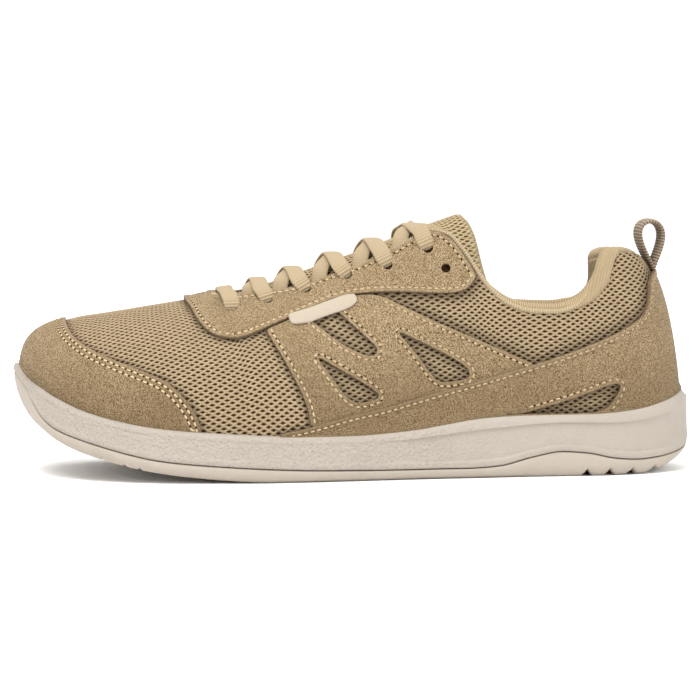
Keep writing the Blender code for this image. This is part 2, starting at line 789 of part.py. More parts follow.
def tongue_sections(body):
    """Outer surface of the tongue across the shoe, from its front end to its top edge."""
    rows = body.index.shape[1]
    lap = rows - 3
    first = VAMP_STATIONS + 2
    last = int(np.argmin(np.abs(np.abs(RING[: HALF + 1]) - angle_of(COLLAR_FOOT))))
    depth = MESH_WALL + CLEARANCE + 0.0006
    sections = []
    for k in range(first, last + 1):
        foot = abs(RING[k])
        along = float(read(CREST_RING, "along", foot))
        crest = np.array(
            [
                (along - 0.5) * SHOE_LENGTH,
                float(read(RIDGE_SHIFT, "middle", along)) * BALL_WIDTH,
                float(read(CREST_RING, "height", foot)) * INSTEP_HEIGHT,
            ]
        )
        halves = []
        for ring in (k, len(RING) - k):
            side = LATERAL if ring == k else MEDIAL
            column = body.index[ring, lap:]
            edge = body.points[column] - body.normals[column] * (depth + (wall_of(body)[column] - MESH_WALL)[:, None])
            start, way = edge[-1], edge[-1] - edge[-2]
            way = way / np.linalg.norm(way)
            span = np.linalg.norm(crest - start)
            bridge = []
            for u in (0.28, 0.55, 0.80):
                control_a = start + way * span * 0.33
                control_b = crest + np.array([0, side * span * 0.45, 0])
                bridge.append(
                    (1 - u) ** 3 * start
                    + 3 * (1 - u) ** 2 * u * control_a
                    + 3 * (1 - u) * u**2 * control_b
                    + u**3 * crest
                )
            halves.append(list(edge) + bridge)
        sections.append(np.array(halves[0] + [crest] + halves[1][::-1]))
    return np.array(sections)


def tongue_sheet(body):
    """The tongue's outer surface: its sections, and a front end that runs on under the vamp."""
    grid = tongue_sections(body)
    front = grid[0] - (grid[1] - grid[0]) * 0.8
    front[:, 2] -= 0.0012
    grid = np.concatenate([front[None], grid])
    count, across = grid.shape[:2]
    faces = []
    for k in range(count - 1):
        for r in range(across - 1):
            here, there = k * across + r, (k + 1) * across + r
            faces += two_triangles(here, there, there + 1, here + 1)
    return grid, faces


def make_tongue(material, body):
    """Padded tongue: under the eyestay at its sides, free at the top."""
    grid, faces = tongue_sheet(body)
    count, across = grid.shape[:2]
    points = grid.reshape(-1, 3)
    normals = vertex_normals(points, faces)
    run = np.repeat(np.linspace(0, 1, count), across)
    spread = np.tile(np.abs(np.linspace(-1, 1, across)), count)
    layer = TONGUE_LAYER * (0.45 + 0.55 * smoothstep(0.0, 0.35, run)) * (1 - 0.55 * smoothstep(0.6, 1.0, spread))
    low = points - normals * layer[:, None]
    vertices, shell = thicken(points, faces, low, points)
    return make_mesh("tongue", vertices, shell, material)


def smooth_path(points, count):
    """Evenly spaced points on a soft curve through a few points."""
    points = np.array(points, float)
    step = np.concatenate([[0], np.cumsum(np.linalg.norm(np.diff(points, axis=0), axis=1))])
    at = np.linspace(0, step[-1], count)
    columns = {"at": step, "x": points[:, 0], "y": points[:, 1], "z": points[:, 2]}
    return np.column_stack([read(columns, name, at) for name in "xyz"])


def band(name, path, faces_up, width, thickness, material=None):
    """A flat band along a path; faces_up is the way its flat side faces at each point."""
    path, faces_up = np.array(path), np.array(faces_up)
    along = np.gradient(path, axis=0)
    along /= np.linalg.norm(along, axis=1)[:, None]
    sideways = np.cross(along, faces_up)
    sideways /= np.linalg.norm(sideways, axis=1)[:, None]
    upward = np.cross(sideways, along)
    corners = ((-0.5, -0.25), (-0.38, 0.5), (0.38, 0.5), (0.5, -0.25), (0.38, -0.5), (-0.38, -0.5))
    rings = [path + sideways * width * a + upward * thickness * b for a, b in corners]
    vertices = np.stack(rings, axis=1).reshape(-1, 3)
    sides, count = len(corners), len(path)
    faces = [tuple(range(sides)), tuple(range(count * sides - 1, (count - 1) * sides - 1, -1))]
    for k in range(count - 1):
        for s in range(sides):
            n = (s + 1) % sides
            faces.append((k * sides + s, (k + 1) * sides + s, (k + 1) * sides + n, k * sides + n))
    return make_mesh(name, vertices, faces, material)


def throat_point(body, side, along, lift):
    """Point over the throat's edge on one side at a share of the length."""
    edge = body.index[: HALF + 1, -1] if side == LATERAL else body.index[[0] + list(range(len(RING) - 1, HALF - 1, -1)), -1]
    points = body.points[edge]
    stop = int(np.argmax(points[:, 2]))
    span = slice(VAMP_STATIONS, stop + 1)
    x = (along - 0.5) * SHOE_LENGTH
    place = np.array([np.interp(x, points[span, 0], points[span, c]) for c in range(3)])
    normal = np.array([np.interp(x, points[span, 0], body.normals[edge][span, c]) for c in range(3)])
    return place + normal * lift, normal


def crest_point(along, lift):
    height = float(read(CREST, "height", along, key="along")) * INSTEP_HEIGHT
    across = float(read(RIDGE_SHIFT, "middle", along)) * BALL_WIDTH
    return np.array([(along - 0.5) * SHOE_LENGTH, across, height + lift])


def lift_clear(path, ways, grounds):
    """Raises a path until a lace along it clears each ground by the height stated for it."""
    for _ in range(3):
        along = np.gradient(path, axis=0)
        for k, point in enumerate(path):
            sideways = np.cross(along[k], ways[k])
            sideways /= np.linalg.norm(sideways)
            short = 0.0
            for share in (-0.5, 0.0, 0.5):
                place = Vector(point + sideways * LACE_WIDTH * share)
                for tree, need in grounds:
                    way = Vector(ways[k])
                    hit, normal, _, distance = tree.ray_cast(place + way * 0.02, -way, 0.03)
                    if hit is not None:
                        short = max(short, need - (distance - 0.02) * abs(normal.dot(way)))
            path[k] = point + ways[k] * short
    return path


def lace_strand(name, body, tree, grounds, side, row, material=None):
    """From an eyelet over the throat to the far side, where it goes down inside the throat one row ahead."""
    lift = CLEARANCE * 2 + SUEDE_LAYER + LACE_THICKNESS * 0.5
    along, height = EYELETS["along"][row], EYELETS["height"][row]
    start, start_up = on_body(tree, side, along, height)
    start = start + start_up * lift
    bar = row == 0
    ahead = along if bar else EYELETS["along"][row - 1]
    gap = 0.026 if row == 1 else 0.017
    over, over_up = throat_point(body, side, along - (0.005 if bar else 0.012), lift + 0.0012)
    middle = crest_point(along - 0.006 if bar else (along + ahead + gap - 0.012) / 2, LACE_THICKNESS * 0.5 + 0.0026)
    up = np.array([0.0, 0.0, 1.0])
    if bar:
        far, far_up = throat_point(body, -side, along - 0.005, lift + 0.0012)
        end, end_up = on_body(tree, -side, along, height)
        stops = [start, over, middle, far, end + end_up * lift]
        ways = [start_up, over_up, up, far_up, end_up]
    else:
        far, far_up = throat_point(body, -side, ahead + gap, 0.0)
        inner = far + (middle - far) * 0.26
        inner[2] = max(inner[2], far[2]) + LACE_THICKNESS * 0.5 + 0.0014
        stops = [start, over, middle, inner]
        ways = [start_up, over_up, up, (far_up + up) / 2]
    path = smooth_path(stops, 10)
    ways = np.array(ways)
    step = np.concatenate([[0], np.cumsum(np.linalg.norm(np.diff(np.array(stops), axis=0), axis=1))])
    at = np.linspace(0, step[-1], 10)
    ways = np.column_stack([np.interp(at, step, ways[:, c]) for c in range(3)])
    ways /= np.linalg.norm(ways, axis=1)[:, None]
    return band(name, lift_clear(path, ways, grounds), ways, LACE_WIDTH, LACE_THICKNESS, material)


def make_laces(material, body, tree):
    """A straight bar at the front eyelets, then crossings of two joined strands."""
    grid, faces = tongue_sheet(body)
    tongue = BVHTree.FromPolygons([Vector(p) for p in grid.reshape(-1, 3)], faces)
    half = LACE_THICKNESS / 2 + CLEARANCE
    grounds = ((tree, half + CLEARANCE + SUEDE_LAYER), (tongue, half + CLEARANCE))
    lace_strand("lace_1", body, tree, grounds, LATERAL, 0, material)
    for row in range(1, LACED_ROWS):
        crossing = lace_strand(f"lace_{row + 1}", body, tree, grounds, LATERAL, row, material)
        combine(crossing, lace_strand("strand", body, tree, grounds, MEDIAL, row), "UNION")


def make_pull_loop(material, body):
    """Webbing loop that stands on the back of the collar."""
    back = body.points[body.index[HALF]]
    normals = body.normals[body.index[HALF]]
    seat_height = 0.800 * INSTEP_HEIGHT + CLEARANCE * 2
    seat = np.array([np.interp(seat_height, back[:, 2], back[:, c]) for c in range(3)])
    normal = np.array([np.interp(seat_height, back[:, 2], normals[:, c]) for c in range(3)])
    foot = seat + normal * (CLEARANCE + LOOP_THICKNESS * 0.04) + np.array([0, 0, LOOP_THICKNESS * 0.75])
    count = 18
    outer, inner = [], []
    for k in range(count):
        turn = 2 * math.pi * (k + 0.5) / count
        up = (1 - math.cos(turn)) / 2
        wide = math.sin(turn) * math.sin(turn / 2) ** 1.6
        centre = foot + np.array([wide * LOOP_SPREAD * 0.72 - 0.0012 * up, 0, up * LOOP_HEIGHT])
        outer.append(centre)
    path = np.array(outer)
    ahead = np.roll(path, -1, axis=0) - np.roll(path, 1, axis=0)
    side = np.column_stack([ahead[:, 2], np.zeros(count), -ahead[:, 0]])
    side /= np.linalg.norm(side, axis=1)[:, None]
    outer = path - side * LOOP_THICKNESS / 2
    inner = path + side * LOOP_THICKNESS / 2
    half = np.array([0, LOOP_WIDTH / 2, 0])
    vertices = np.concatenate([outer - half, outer + half, inner + half, inner - half])
    faces = []
    for k in range(count):
        n = (k + 1) % count
        for s in range(4):
            a, b = s * count, (s + 1) % 4 * count
            faces.append((a + k, b + k, b + n, a + n))
    return make_mesh("pull_loop", vertices, faces, material)


def main():
    for obj in list(bpy.data.objects):
        bpy.data.objects.remove(obj)
    bpy.context.scene.collection.objects.link(bpy.data.objects.new("shoe", None))

    rubber = finish("sole rubber", (0.72, 0.66, 0.58), 0.55)
    mesh_cloth = finish("mesh cloth", (0.40, 0.31, 0.20), 0.85)
    suede = finish("suede", (0.42, 0.32, 0.20), 0.95)
    lace_cloth = finish("lace cloth", (0.62, 0.52, 0.36), 0.80)
    webbing = finish("webbing", (0.45, 0.37, 0.28), 0.80)
    tab_cloth = finish("tab", (0.78, 0.70, 0.58), 0.60)
    foam = finish("insole cloth", (0.60, 0.52, 0.38), 0.90)

    body = Surface(body_points())
    tree = body_tree(body)
    both = (-BALL_WIDTH, BALL_WIDTH)
    lateral = (-BALL_WIDTH, 0.0)
    medial = (0.0, BALL_WIDTH)

    make_outsole(rubber)
    make_midsole(rubber, body)
    make_insole(foam)
    upper = make_upper(mesh_cloth, body)
    panel("toe_cap", body, TOE_CAP, suede, both)
    eyestay = panel("eyestay", body, EYESTAY, suede, both)
    panel("saddle_lateral", body, SADDLE, suede, lateral, windows=SADDLE_WINDOWS)
    panel("saddle_medial", body, SADDLE, suede, medial, windows=SADDLE_WINDOWS)
    panel("heel_counter", body, COUNTER, suede, both, windows=(COUNTER_WINDOW,))
    over_suede = CLEARANCE * 2 + SUEDE_LAYER
    panel("side_tab", body, SIDE_TAB, tab_cloth, lateral, layer=(over_suede, over_suede + TAB_THICKNESS))
    punch_eyelets((upper, eyestay), tree)
    make_tongue(mesh_cloth, body)
    make_laces(lace_cloth, body, tree)
    make_pull_loop(webbing, body)


main()
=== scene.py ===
# %% [markdown]
# # A barefoot shoe, dressed
#
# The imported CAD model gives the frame: where each part of the shoe lies, in metres, toe to -X, outer side to
# -Y. This lesson puts the real look over it: rubber with a grain, mesh with open holes, suede panels with
# rolled edges and stitches, a padded collar and tongue, and a flat lace through the eyelets.

# %% Load the frame
import math

import bmesh
import bpy
import numpy as np
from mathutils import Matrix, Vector
from mathutils.bvhtree import BVHTree
from mathutils.geometry import delaunay_2d_cdt


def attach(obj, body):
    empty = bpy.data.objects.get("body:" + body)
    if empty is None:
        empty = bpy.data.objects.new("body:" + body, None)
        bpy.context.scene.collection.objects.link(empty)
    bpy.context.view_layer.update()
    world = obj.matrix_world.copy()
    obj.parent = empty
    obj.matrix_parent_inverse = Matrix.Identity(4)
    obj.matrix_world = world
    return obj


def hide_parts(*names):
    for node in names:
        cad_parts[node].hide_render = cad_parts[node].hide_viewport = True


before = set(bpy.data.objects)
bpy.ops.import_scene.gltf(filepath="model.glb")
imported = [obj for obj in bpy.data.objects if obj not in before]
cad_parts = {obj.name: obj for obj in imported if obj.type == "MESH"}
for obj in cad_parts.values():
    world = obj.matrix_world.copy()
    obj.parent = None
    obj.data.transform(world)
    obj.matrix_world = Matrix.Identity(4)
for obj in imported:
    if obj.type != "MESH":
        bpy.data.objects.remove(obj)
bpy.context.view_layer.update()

# %% [markdown]
# ## Camera, light and floor
#
# A product photo is taken with a long lens from a little above the floor. The camera was solved from the
# shoe's outline: 5 degrees towards the toe, 4.5 degrees up, 1.6 m away. Large soft lights and a white floor
# give the even light of the picture, with only a faint shadow under the sole.

# %% Camera
turn, climb = math.radians(-5.0), math.radians(4.5)
back = Vector((math.sin(turn) * math.cos(climb), -math.cos(turn) * math.cos(climb), math.sin(climb)))
aim = Vector((-0.0012, 0.0, 0.0505))
CAMERA_DISTANCE, SENSOR_WIDTH = 1.6, 36.0
PIXELS_PER_METRE, PICTURE_WIDTH = 2374, 700
camera = bpy.data.objects.new("camera", bpy.data.cameras.new("camera"))
camera.data.sensor_width = SENSOR_WIDTH
camera.data.lens = SENSOR_WIDTH * CAMERA_DISTANCE * PIXELS_PER_METRE / PICTURE_WIDTH
camera.data.clip_start = 0.1
camera.data.clip_end = 50.0
camera.location = aim + back * CAMERA_DISTANCE
camera.rotation_euler = back.to_track_quat("Z", "Y").to_euler()
bpy.context.scene.collection.objects.link(camera)
bpy.context.scene.camera = camera
bpy.context.scene.view_settings.view_transform = "Standard"
print("camera at", [round(v, 3) for v in camera.location])


# %% Soft studio lights
def softbox(name, place, target, size, power, tint=(1.0, 1.0, 1.0)):
    light = bpy.data.lights.new(name, "AREA")
    light.shape = "RECTANGLE"
    light.size, light.size_y = size
    light.energy = power
    light.color = tint
    lamp = bpy.data.objects.new(name, light)
    lamp.location = place
    lamp.rotation_euler = (Vector(place) - Vector(target)).to_track_quat("Z", "Y").to_euler()
    bpy.context.scene.collection.objects.link(lamp)


softbox("key", (-0.40, -0.60, 1.30), (0, 0, 0.05), (0.8, 0.8), 20.0, (1.0, 0.985, 0.96))
softbox("fill", (0.9, -1.1, 0.55), (0, 0, 0.05), (1.0, 0.8), 6.0, (0.98, 0.99, 1.0))
softbox("rear", (0.25, 1.0, 1.05), (0, 0, 0.05), (1.2, 0.8), 7.0)
world = bpy.data.worlds.new("studio")
world.use_nodes = True
world.node_tree.nodes["Background"].inputs["Color"].default_value = (1.0, 1.0, 1.0, 1.0)
world.node_tree.nodes["Background"].inputs["Strength"].default_value = 1.05
bpy.context.scene.world = world
print("three soft lights and a white room")

# %% [markdown]
# ## The last's form
#
# Upper and panels all lie on one surface. Its tables are those of the CAD source: the sole's outline, the
# heights of seam, rim and topline, and the shape of the side between rim and top edge, each as shares of a
# few named sizes. A place on the surface is (ring, u): ring runs round the shoe, 0 at the toe tip and 1 at the
# heel, negative on the outer side; u runs from the rim, 0, to the top edge, 1.

# %% Named sizes and tables
SHOE_LENGTH, BALL_WIDTH, INSTEP_HEIGHT = 0.285, 0.106, 0.104
TOE_SPRING, RIM_HEIGHT, SEAM_HEIGHT = 0.033, 0.0262, 0.0104
OUTSOLE_LAYER, MIDSOLE_LAYER, INSOLE_LAYER = 0.0035, 0.0040, 0.0035
RIM_INSET, END_ROUNDING, FEATHER_INSET = 0.0040, 0.0010, 0.0062
MESH_WALL, COLLAR_PADDING, SUEDE_LAYER = 0.0024, 0.0052, 0.0013
CLEARANCE = 0.0003
THROAT_FOOT, COLLAR_FOOT = 0.330, 0.737
LATERAL, MEDIAL = -1, 1


def table(columns, *rows):
    return {name: np.array([row[k] for row in rows], float) for k, name in enumerate(columns.split())}


OUTLINE = table(
    "along middle half",
    (0.00, 0.085, 0.500), (0.07, 0.040, 0.500), (0.14, 0.020, 0.498), (0.25, 0.004, 0.500), (0.33, -0.006, 0.497),
    (0.42, -0.024, 0.462), (0.53, -0.034, 0.402), (0.64, -0.030, 0.362), (0.75, -0.014, 0.350), (0.85, 0.000, 0.352),
    (1.00, 0.008, 0.350),
)
TOE_ROUND, HEEL_ROUND = (0.27, 2.35), (0.19, 2.15)
SOLE = table(
    "along bottom",
    (0.000, 1.000), (0.003, 0.880), (0.010, 0.767), (0.017, 0.700), (0.035, 0.588), (0.054, 0.485), (0.090, 0.355),
    (0.126, 0.270), (0.162, 0.191), (0.198, 0.133), (0.235, 0.088), (0.266, 0.060), (0.302, 0.032), (0.336, 0.012),
    (0.371, 0.000), (0.914, 0.000), (0.932, 0.008), (0.952, 0.050), (0.970, 0.108), (0.982, 0.165), (0.992, 0.245),
    (1.000, 0.330),
)
SEAM = table(
    "along height",
    (0.000, 4.05), (0.006, 3.88), (0.018, 3.42), (0.027, 2.94), (0.041, 2.38), (0.059, 2.01), (0.090, 1.69),
    (0.126, 1.40), (0.162, 1.14), (0.198, 0.93), (0.235, 0.80), (0.302, 0.65), (0.368, 0.54), (0.436, 0.46),
    (0.576, 0.40), (0.656, 0.40), (0.701, 0.47), (0.751, 0.80), (0.794, 1.00), (0.831, 0.93), (0.876, 0.69),
    (0.912, 0.615), (0.941, 0.66), (0.978, 0.83), (1.000, 1.06),
)
RIM = table(
    "along height",
    (0.000, 1.730), (0.010, 1.600), (0.018, 1.515), (0.033, 1.425), (0.051, 1.310), (0.069, 1.228), (0.091, 1.130),
    (0.127, 1.018), (0.163, 0.935), (0.199, 0.872), (0.235, 0.830), (0.326, 0.763), (0.416, 0.722), (0.486, 0.722),
    (0.546, 0.758), (0.585, 0.800), (0.630, 0.880), (0.676, 0.955), (0.736, 0.990), (0.848, 1.000), (0.911, 1.055),
    (0.958, 1.160), (1.000, 1.290),
)
TOPLINE = table(
    "foot along gap height",
    (0.000, 0.076, 0.000, 0.610), (0.070, 0.100, 0.000, 0.626), (0.140, 0.146, 0.000, 0.645),
    (0.210, 0.198, 0.000, 0.668), (0.280, 0.254, 0.000, 0.694), (0.330, 0.292, 0.000, 0.714),
    (0.358, 0.310, 0.115, 0.702), (0.414, 0.358, 0.140, 0.722), (0.470, 0.414, 0.152, 0.752),
    (0.519, 0.461, 0.160, 0.796), (0.561, 0.506, 0.168, 0.842), (0.596, 0.548, 0.176, 0.895),
    (0.625, 0.584, 0.184, 0.950), (0.646, 0.609, 0.194, 0.979), (0.663, 0.631, 0.208, 0.966),
    (0.681, 0.653, 0.232, 0.904), (0.698, 0.675, 0.258, 0.812), (0.716, 0.695, 0.280, 0.742),
    (0.737, 0.719, 0.300, 0.690), (0.765, 0.750, 0.312, 0.663), (0.796, 0.784, 0.312, 0.659),
    (0.828, 0.814, 0.304, 0.678), (0.860, 0.836, 0.293, 0.742), (0.888, 0.852, 0.280, 0.826),
    (0.916, 0.870, 0.252, 0.884), (0.944, 0.896, 0.200, 0.890), (0.972, 0.918, 0.112, 0.876),
    (1.000, 0.926, 0.000, 0.868),
)
RIDGE = table("along middle", (0.00, 0.060), (0.20, 0.030), (0.45, 0.005), (1.00, 0.005))
SECTION = table(
    "foot rise lean run fall",
    (0.00, 0.62, -4.0, 0.46, 0.0), (0.07, 0.60, 0.0, 0.46, 0.0), (0.20, 0.60, 3.0, 0.46, 0.0),
    (0.33, 0.56, 1.0, 0.42, 4.0), (0.42, 0.46, -4.0, 0.34, 22.0), (0.52, 0.38, -7.0, 0.30, 36.0),
    (0.62, 0.34, -8.0, 0.30, 50.0), (0.70, 0.34, -5.0, 0.30, 66.0), (0.78, 0.34, -1.0, 0.30, 84.0),
    (0.88, 0.30, 1.0, 0.28, 80.0), (1.00, 0.28, -5.0, 0.25, 42.0),
)
CREST = table(
    "foot along height",
    (0.358, 0.302, 0.708), (0.414, 0.353, 0.742), (0.470, 0.408, 0.790), (0.519, 0.454, 0.835), (0.561, 0.498, 0.876),
    (0.596, 0.536, 0.912), (0.625, 0.569, 0.946), (0.646, 0.592, 0.971), (0.663, 0.609, 0.990), (0.681, 0.625, 1.007),
    (0.698, 0.639, 1.021), (0.716, 0.651, 1.032), (0.737, 0.663, 1.040),
)
EYELETS = table(
    "along height",
    (0.317, 0.665), (0.370, 0.695), (0.427, 0.738), (0.487, 0.793), (0.545, 0.836), (0.603, 0.905), (0.627, 0.829),
)
print("tables of the last:", len(TOPLINE["foot"]), "rows of topline,", len(EYELETS["along"]), "eyelets a side")


# %% Reading a table smoothly
def read(source, column, at, key=None, level_ends=False):
    """A smooth value of one column, without overshoot between rows."""
    keys = source[key or next(iter(source))]
    values = source[column]
    at = np.clip(np.asarray(at, float), keys[0], keys[-1])
    step = np.diff(keys)
    slope = np.diff(values) / step
    tangent = np.zeros(len(keys))
    same_way = slope[:-1] * slope[1:] > 0
    safe = np.where(same_way, slope[:-1] + slope[1:], 1.0)
    tangent[1:-1] = np.where(same_way, 2 * slope[:-1] * slope[1:] / safe, 0.0)
    if not level_ends:
        tangent[0], tangent[-1] = slope[0], slope[-1]
    k = np.clip(np.searchsorted(keys, at, side="right") - 1, 0, len(step) - 1)
    u = (at - keys[k]) / step[k]
    return (
        (2 * u**3 - 3 * u**2 + 1) * values[k] + (u**3 - 2 * u**2 + u) * step[k] * tangent[k]
        + (3 * u**2 - 2 * u**3) * values[k + 1] + (u**3 - u**2) * step[k] * tangent[k + 1]
    )


def smoothstep(low, high, value):
    u = np.clip((np.asarray(value, float) - low) / (high - low), 0, 1)
    return u * u * (3 - 2 * u)


def angle_of(share):
    """Ring position of a share of the length."""
    return np.arccos(1 - 2 * np.asarray(share, float)) / math.pi


def share_of(ring):
    return (1 - np.cos(math.pi * np.asarray(ring, float))) / 2


def wrap(ring):
    return (np.asarray(ring, float) + 1) % 2 - 1


for source in (TOPLINE, SECTION, CREST):
    source["foot"] = angle_of(source["foot"])
THROAT, COLLAR = float(angle_of(THROAT_FOOT)), float(angle_of(COLLAR_FOOT))
print("the throat starts at ring", round(THROAT, 3))


# %% The sole's outline
def end_rounding(share, reach, power):
    near = np.clip(1 - share / reach, 0, 1)
    return (1 - near**power) ** (1 / power)


def raw_loop(ring):
    ring = wrap(ring)
    share = share_of(ring)
    half = read(OUTLINE, "half", share)
    half = half * end_rounding(share, *TOE_ROUND) * end_rounding(1 - share, *HEEL_ROUND)
    across = read(OUTLINE, "middle", share) + np.where(ring < 0, LATERAL, MEDIAL) * half
    return np.stack([(share - 0.5), across], axis=-1)


WIDEST = raw_loop(np.linspace(-1, 1, 4001))[:, 1]
ACROSS_LOW, ACROSS_HIGH = WIDEST.min(), WIDEST.max()


def outline_at(ring):
    points = raw_loop(ring)
    across = (points[:, 1] - (ACROSS_LOW + ACROSS_HIGH) / 2) / (ACROSS_HIGH - ACROSS_LOW)
    return np.stack([points[:, 0] * SHOE_LENGTH, across * BALL_WIDTH], axis=-1)


def loop(ring, inset=0.0):
    """The sole's outline in metres, moved inwards by inset, and the outward directions."""
    ring = np.asarray(ring, float)
    nudge = 2e-3
    along = outline_at(ring + nudge) - outline_at(ring - nudge)
    outward = np.stack([-along[:, 1], along[:, 0]], axis=-1)
    outward /= np.linalg.norm(outward, axis=1)[:, None]
    return outline_at(ring) - outward * np.reshape(inset, (-1, 1)), outward


def along_share(x):
    return x / SHOE_LENGTH + 0.5


def bottom_height(x):
    return read(SOLE, "bottom", along_share(x)) * TOE_SPRING


def seam_height(x):
    return np.maximum(read(SEAM, "height", along_share(x)) * SEAM_HEIGHT, bottom_height(x) + 0.6 * OUTSOLE_LAYER)


def rim_height(x):
    return read(RIM, "height", along_share(x)) * RIM_HEIGHT


def bed_height(x):
    """Height of the floor inside the cupped sole."""
    return bottom_height(x) + OUTSOLE_LAYER + CLEARANCE + MIDSOLE_LAYER


def rim_loop(ring, inset):
    """The outline near the rim, which lies a little deeper at the toe and the heel."""
    plan, outward = loop(ring, inset)
    share = along_share(plan[:, 0])
    more = END_ROUNDING * (1 - smoothstep(0.0, 0.10, share) + smoothstep(0.93, 1.0, share))
    return loop(ring, np.reshape(inset, (-1,)) + more)[0], outward


print("outline from", loop(np.array([0.0]))[0].round(4).tolist(), "to", loop(np.array([1.0]))[0].round(4).tolist())


# %% The body's surface
def bump(foot, share, width):
    """1 at a share of the length, dying out softly over width on the ring."""
    return np.exp(-(((foot - angle_of(share)) / width) ** 2))


def inner_side_drop(foot):
    """The picture shows less of the far collar than an even topline would: the inner side is cut lower."""
    sides = smoothstep(angle_of(0.68), angle_of(0.76), foot) * (1 - smoothstep(angle_of(0.90), 1.0, foot))
    return 0.0021 * sides + 0.0040 * bump(foot, 0.878, 0.040)


def inner_side_shift(foot):
    """How far the inner side's collar is moved back, for the same reason."""
    return 0.0068 * bump(foot, 0.852, 0.055)


def body_at(ring, u):
    """Points of the body's outer surface. u under 0 goes on down behind the sole's rim."""
    ring, u = np.broadcast_arrays(np.asarray(ring, float), np.asarray(u, float))
    shape = ring.shape
    ring, u = wrap(ring.ravel()), u.ravel()[:, None]
    foot = np.abs(ring)
    plan, outward = rim_loop(ring, RIM_INSET)
    rim = np.column_stack([plan, rim_height(outline_at(ring)[:, 0])])
    along = read(TOPLINE, "along", foot)
    middle = read(RIDGE, "middle", along) * BALL_WIDTH
    gap = np.where(foot > THROAT, read(TOPLINE, "gap", foot), 0.0) * BALL_WIDTH
    across = middle + np.where(ring < 0, LATERAL, MEDIAL) * gap
    top = np.column_stack([(along - 0.5) * SHOE_LENGTH, across, read(TOPLINE, "height", foot) * INSTEP_HEIGHT])
    step = 0.01
    ahead, behind = np.clip(foot + step, 0, THROAT), np.clip(foot - step, 0, THROAT - step)
    climb = (read(TOPLINE, "height", ahead) - read(TOPLINE, "height", behind)) * INSTEP_HEIGHT
    climb = climb / ((read(TOPLINE, "along", ahead) - read(TOPLINE, "along", behind)) * SHOE_LENGTH)
    rise, lean, run, fall = (read(SECTION, name, foot, level_ends=True)[:, None]
                             for name in ("rise", "lean", "run", "fall"))
    lean, fall = np.radians(lean), np.radians(fall)
    up = np.array([[0.0, 0.0, 1.0]])
    out = np.column_stack([outward, np.zeros(len(ring))])
    out_top = np.column_stack([outward, climb * outward[:, 0]])
    first = rim + rise * (top - rim)[:, 2:] * (up * np.cos(lean) + out * np.sin(lean))
    last = top + run * np.linalg.norm(top - rim, axis=1)[:, None] * (out_top * np.cos(fall) - up * np.sin(fall))
    points = (1 - u) ** 3 * rim + 3 * (1 - u) ** 2 * u * first + 3 * (1 - u) * u**2 * last + u**3 * top
    inner = (ring > 0)[:, None] * smoothstep(0.45, 1.0, u)
    points[:, 2:] -= inner * inner_side_drop(foot)[:, None]
    points[:, :1] += inner * inner_side_shift(foot)[:, None]
    return points.reshape(*shape, 3)


def unit(vectors):
    return vectors / np.maximum(np.linalg.norm(vectors, axis=-1, keepdims=True), 1e-12)


def lengths_along(line):
    """The length of a line from its start to each of its points."""
    return np.concatenate([[0], np.cumsum(np.linalg.norm(np.diff(line, axis=0), axis=1))])


def points_at(where, at, line):
    """Points of a line at the given lengths. at holds the length of each of its points."""
    return np.column_stack([np.interp(where, at, line[:, c]) for c in range(line.shape[1])])


def body_spot(ring, u=1.0):
    """One point of the body and its outward normal."""
    ring, u = np.array([ring]), np.array([u])
    return body_at(ring, u)[0], body_out(ring, u)[0]


def body_ways(ring, u, nudge=1e-3):
    """How the surface runs for a step of ring and a step of u."""
    ring, u = np.broadcast_arrays(np.asarray(ring, float), np.asarray(u, float))
    high = np.minimum(u + nudge, 1.0)
    ring_way = (body_at(ring + nudge, u) - body_at(ring - nudge, u)) / (2 * nudge)
    u_way = (body_at(ring, high) - body_at(ring, high - 2 * nudge)) / (2 * nudge)
    return ring_way, u_way


def body_out(ring, u):
    """Outward normals of the body."""
    ring, u = np.broadcast_arrays(np.asarray(ring, float), np.asarray(u, float))
    calm = np.where(np.abs(wrap(ring)) < THROAT, np.minimum(u, 0.985), u)
    ring_way, u_way = body_ways(ring, calm)
    return unit(np.cross(u_way, ring_way))


def over_body(ring, u, lift):
    shape = (*np.broadcast(ring, u).shape, 1) if np.ndim(lift) else (1,)
    return body_at(ring, u) + body_out(ring, u) * np.reshape(lift, shape)


print("top of the collar at the heel", body_at(1.0, 1.0).round(4).tolist())

# %% [markdown]
# ## Finishes
#
# Every finish is made of nodes. Shader maths reads like sums when a socket is wrapped in a small class: an
# expression on two values adds the Math node for it. Patterns lie on Object coordinates, in metres, so a
# scale of 1000 gives details of a millimetre. Colours are written as the photo shows them.

# %% Shader sums and nodes
class Value:
    """A socket of a finish. Sums on it add Math nodes."""

    def __init__(self, owner, socket):
        self.owner, self.socket = owner, socket

    def math(self, operation, *terms):
        return self.owner.add("ShaderNodeMath", {"operation": operation}, dict(enumerate(terms)))

    def __add__(self, other):
        return self.math("ADD", self, other)

    def __sub__(self, other):
        return self.math("SUBTRACT", self, other)

    def __rsub__(self, other):
        return self.math("SUBTRACT", other, self)

    def __mul__(self, other):
        return self.math("MULTIPLY", self, other)

    __radd__, __rmul__ = __add__, __mul__


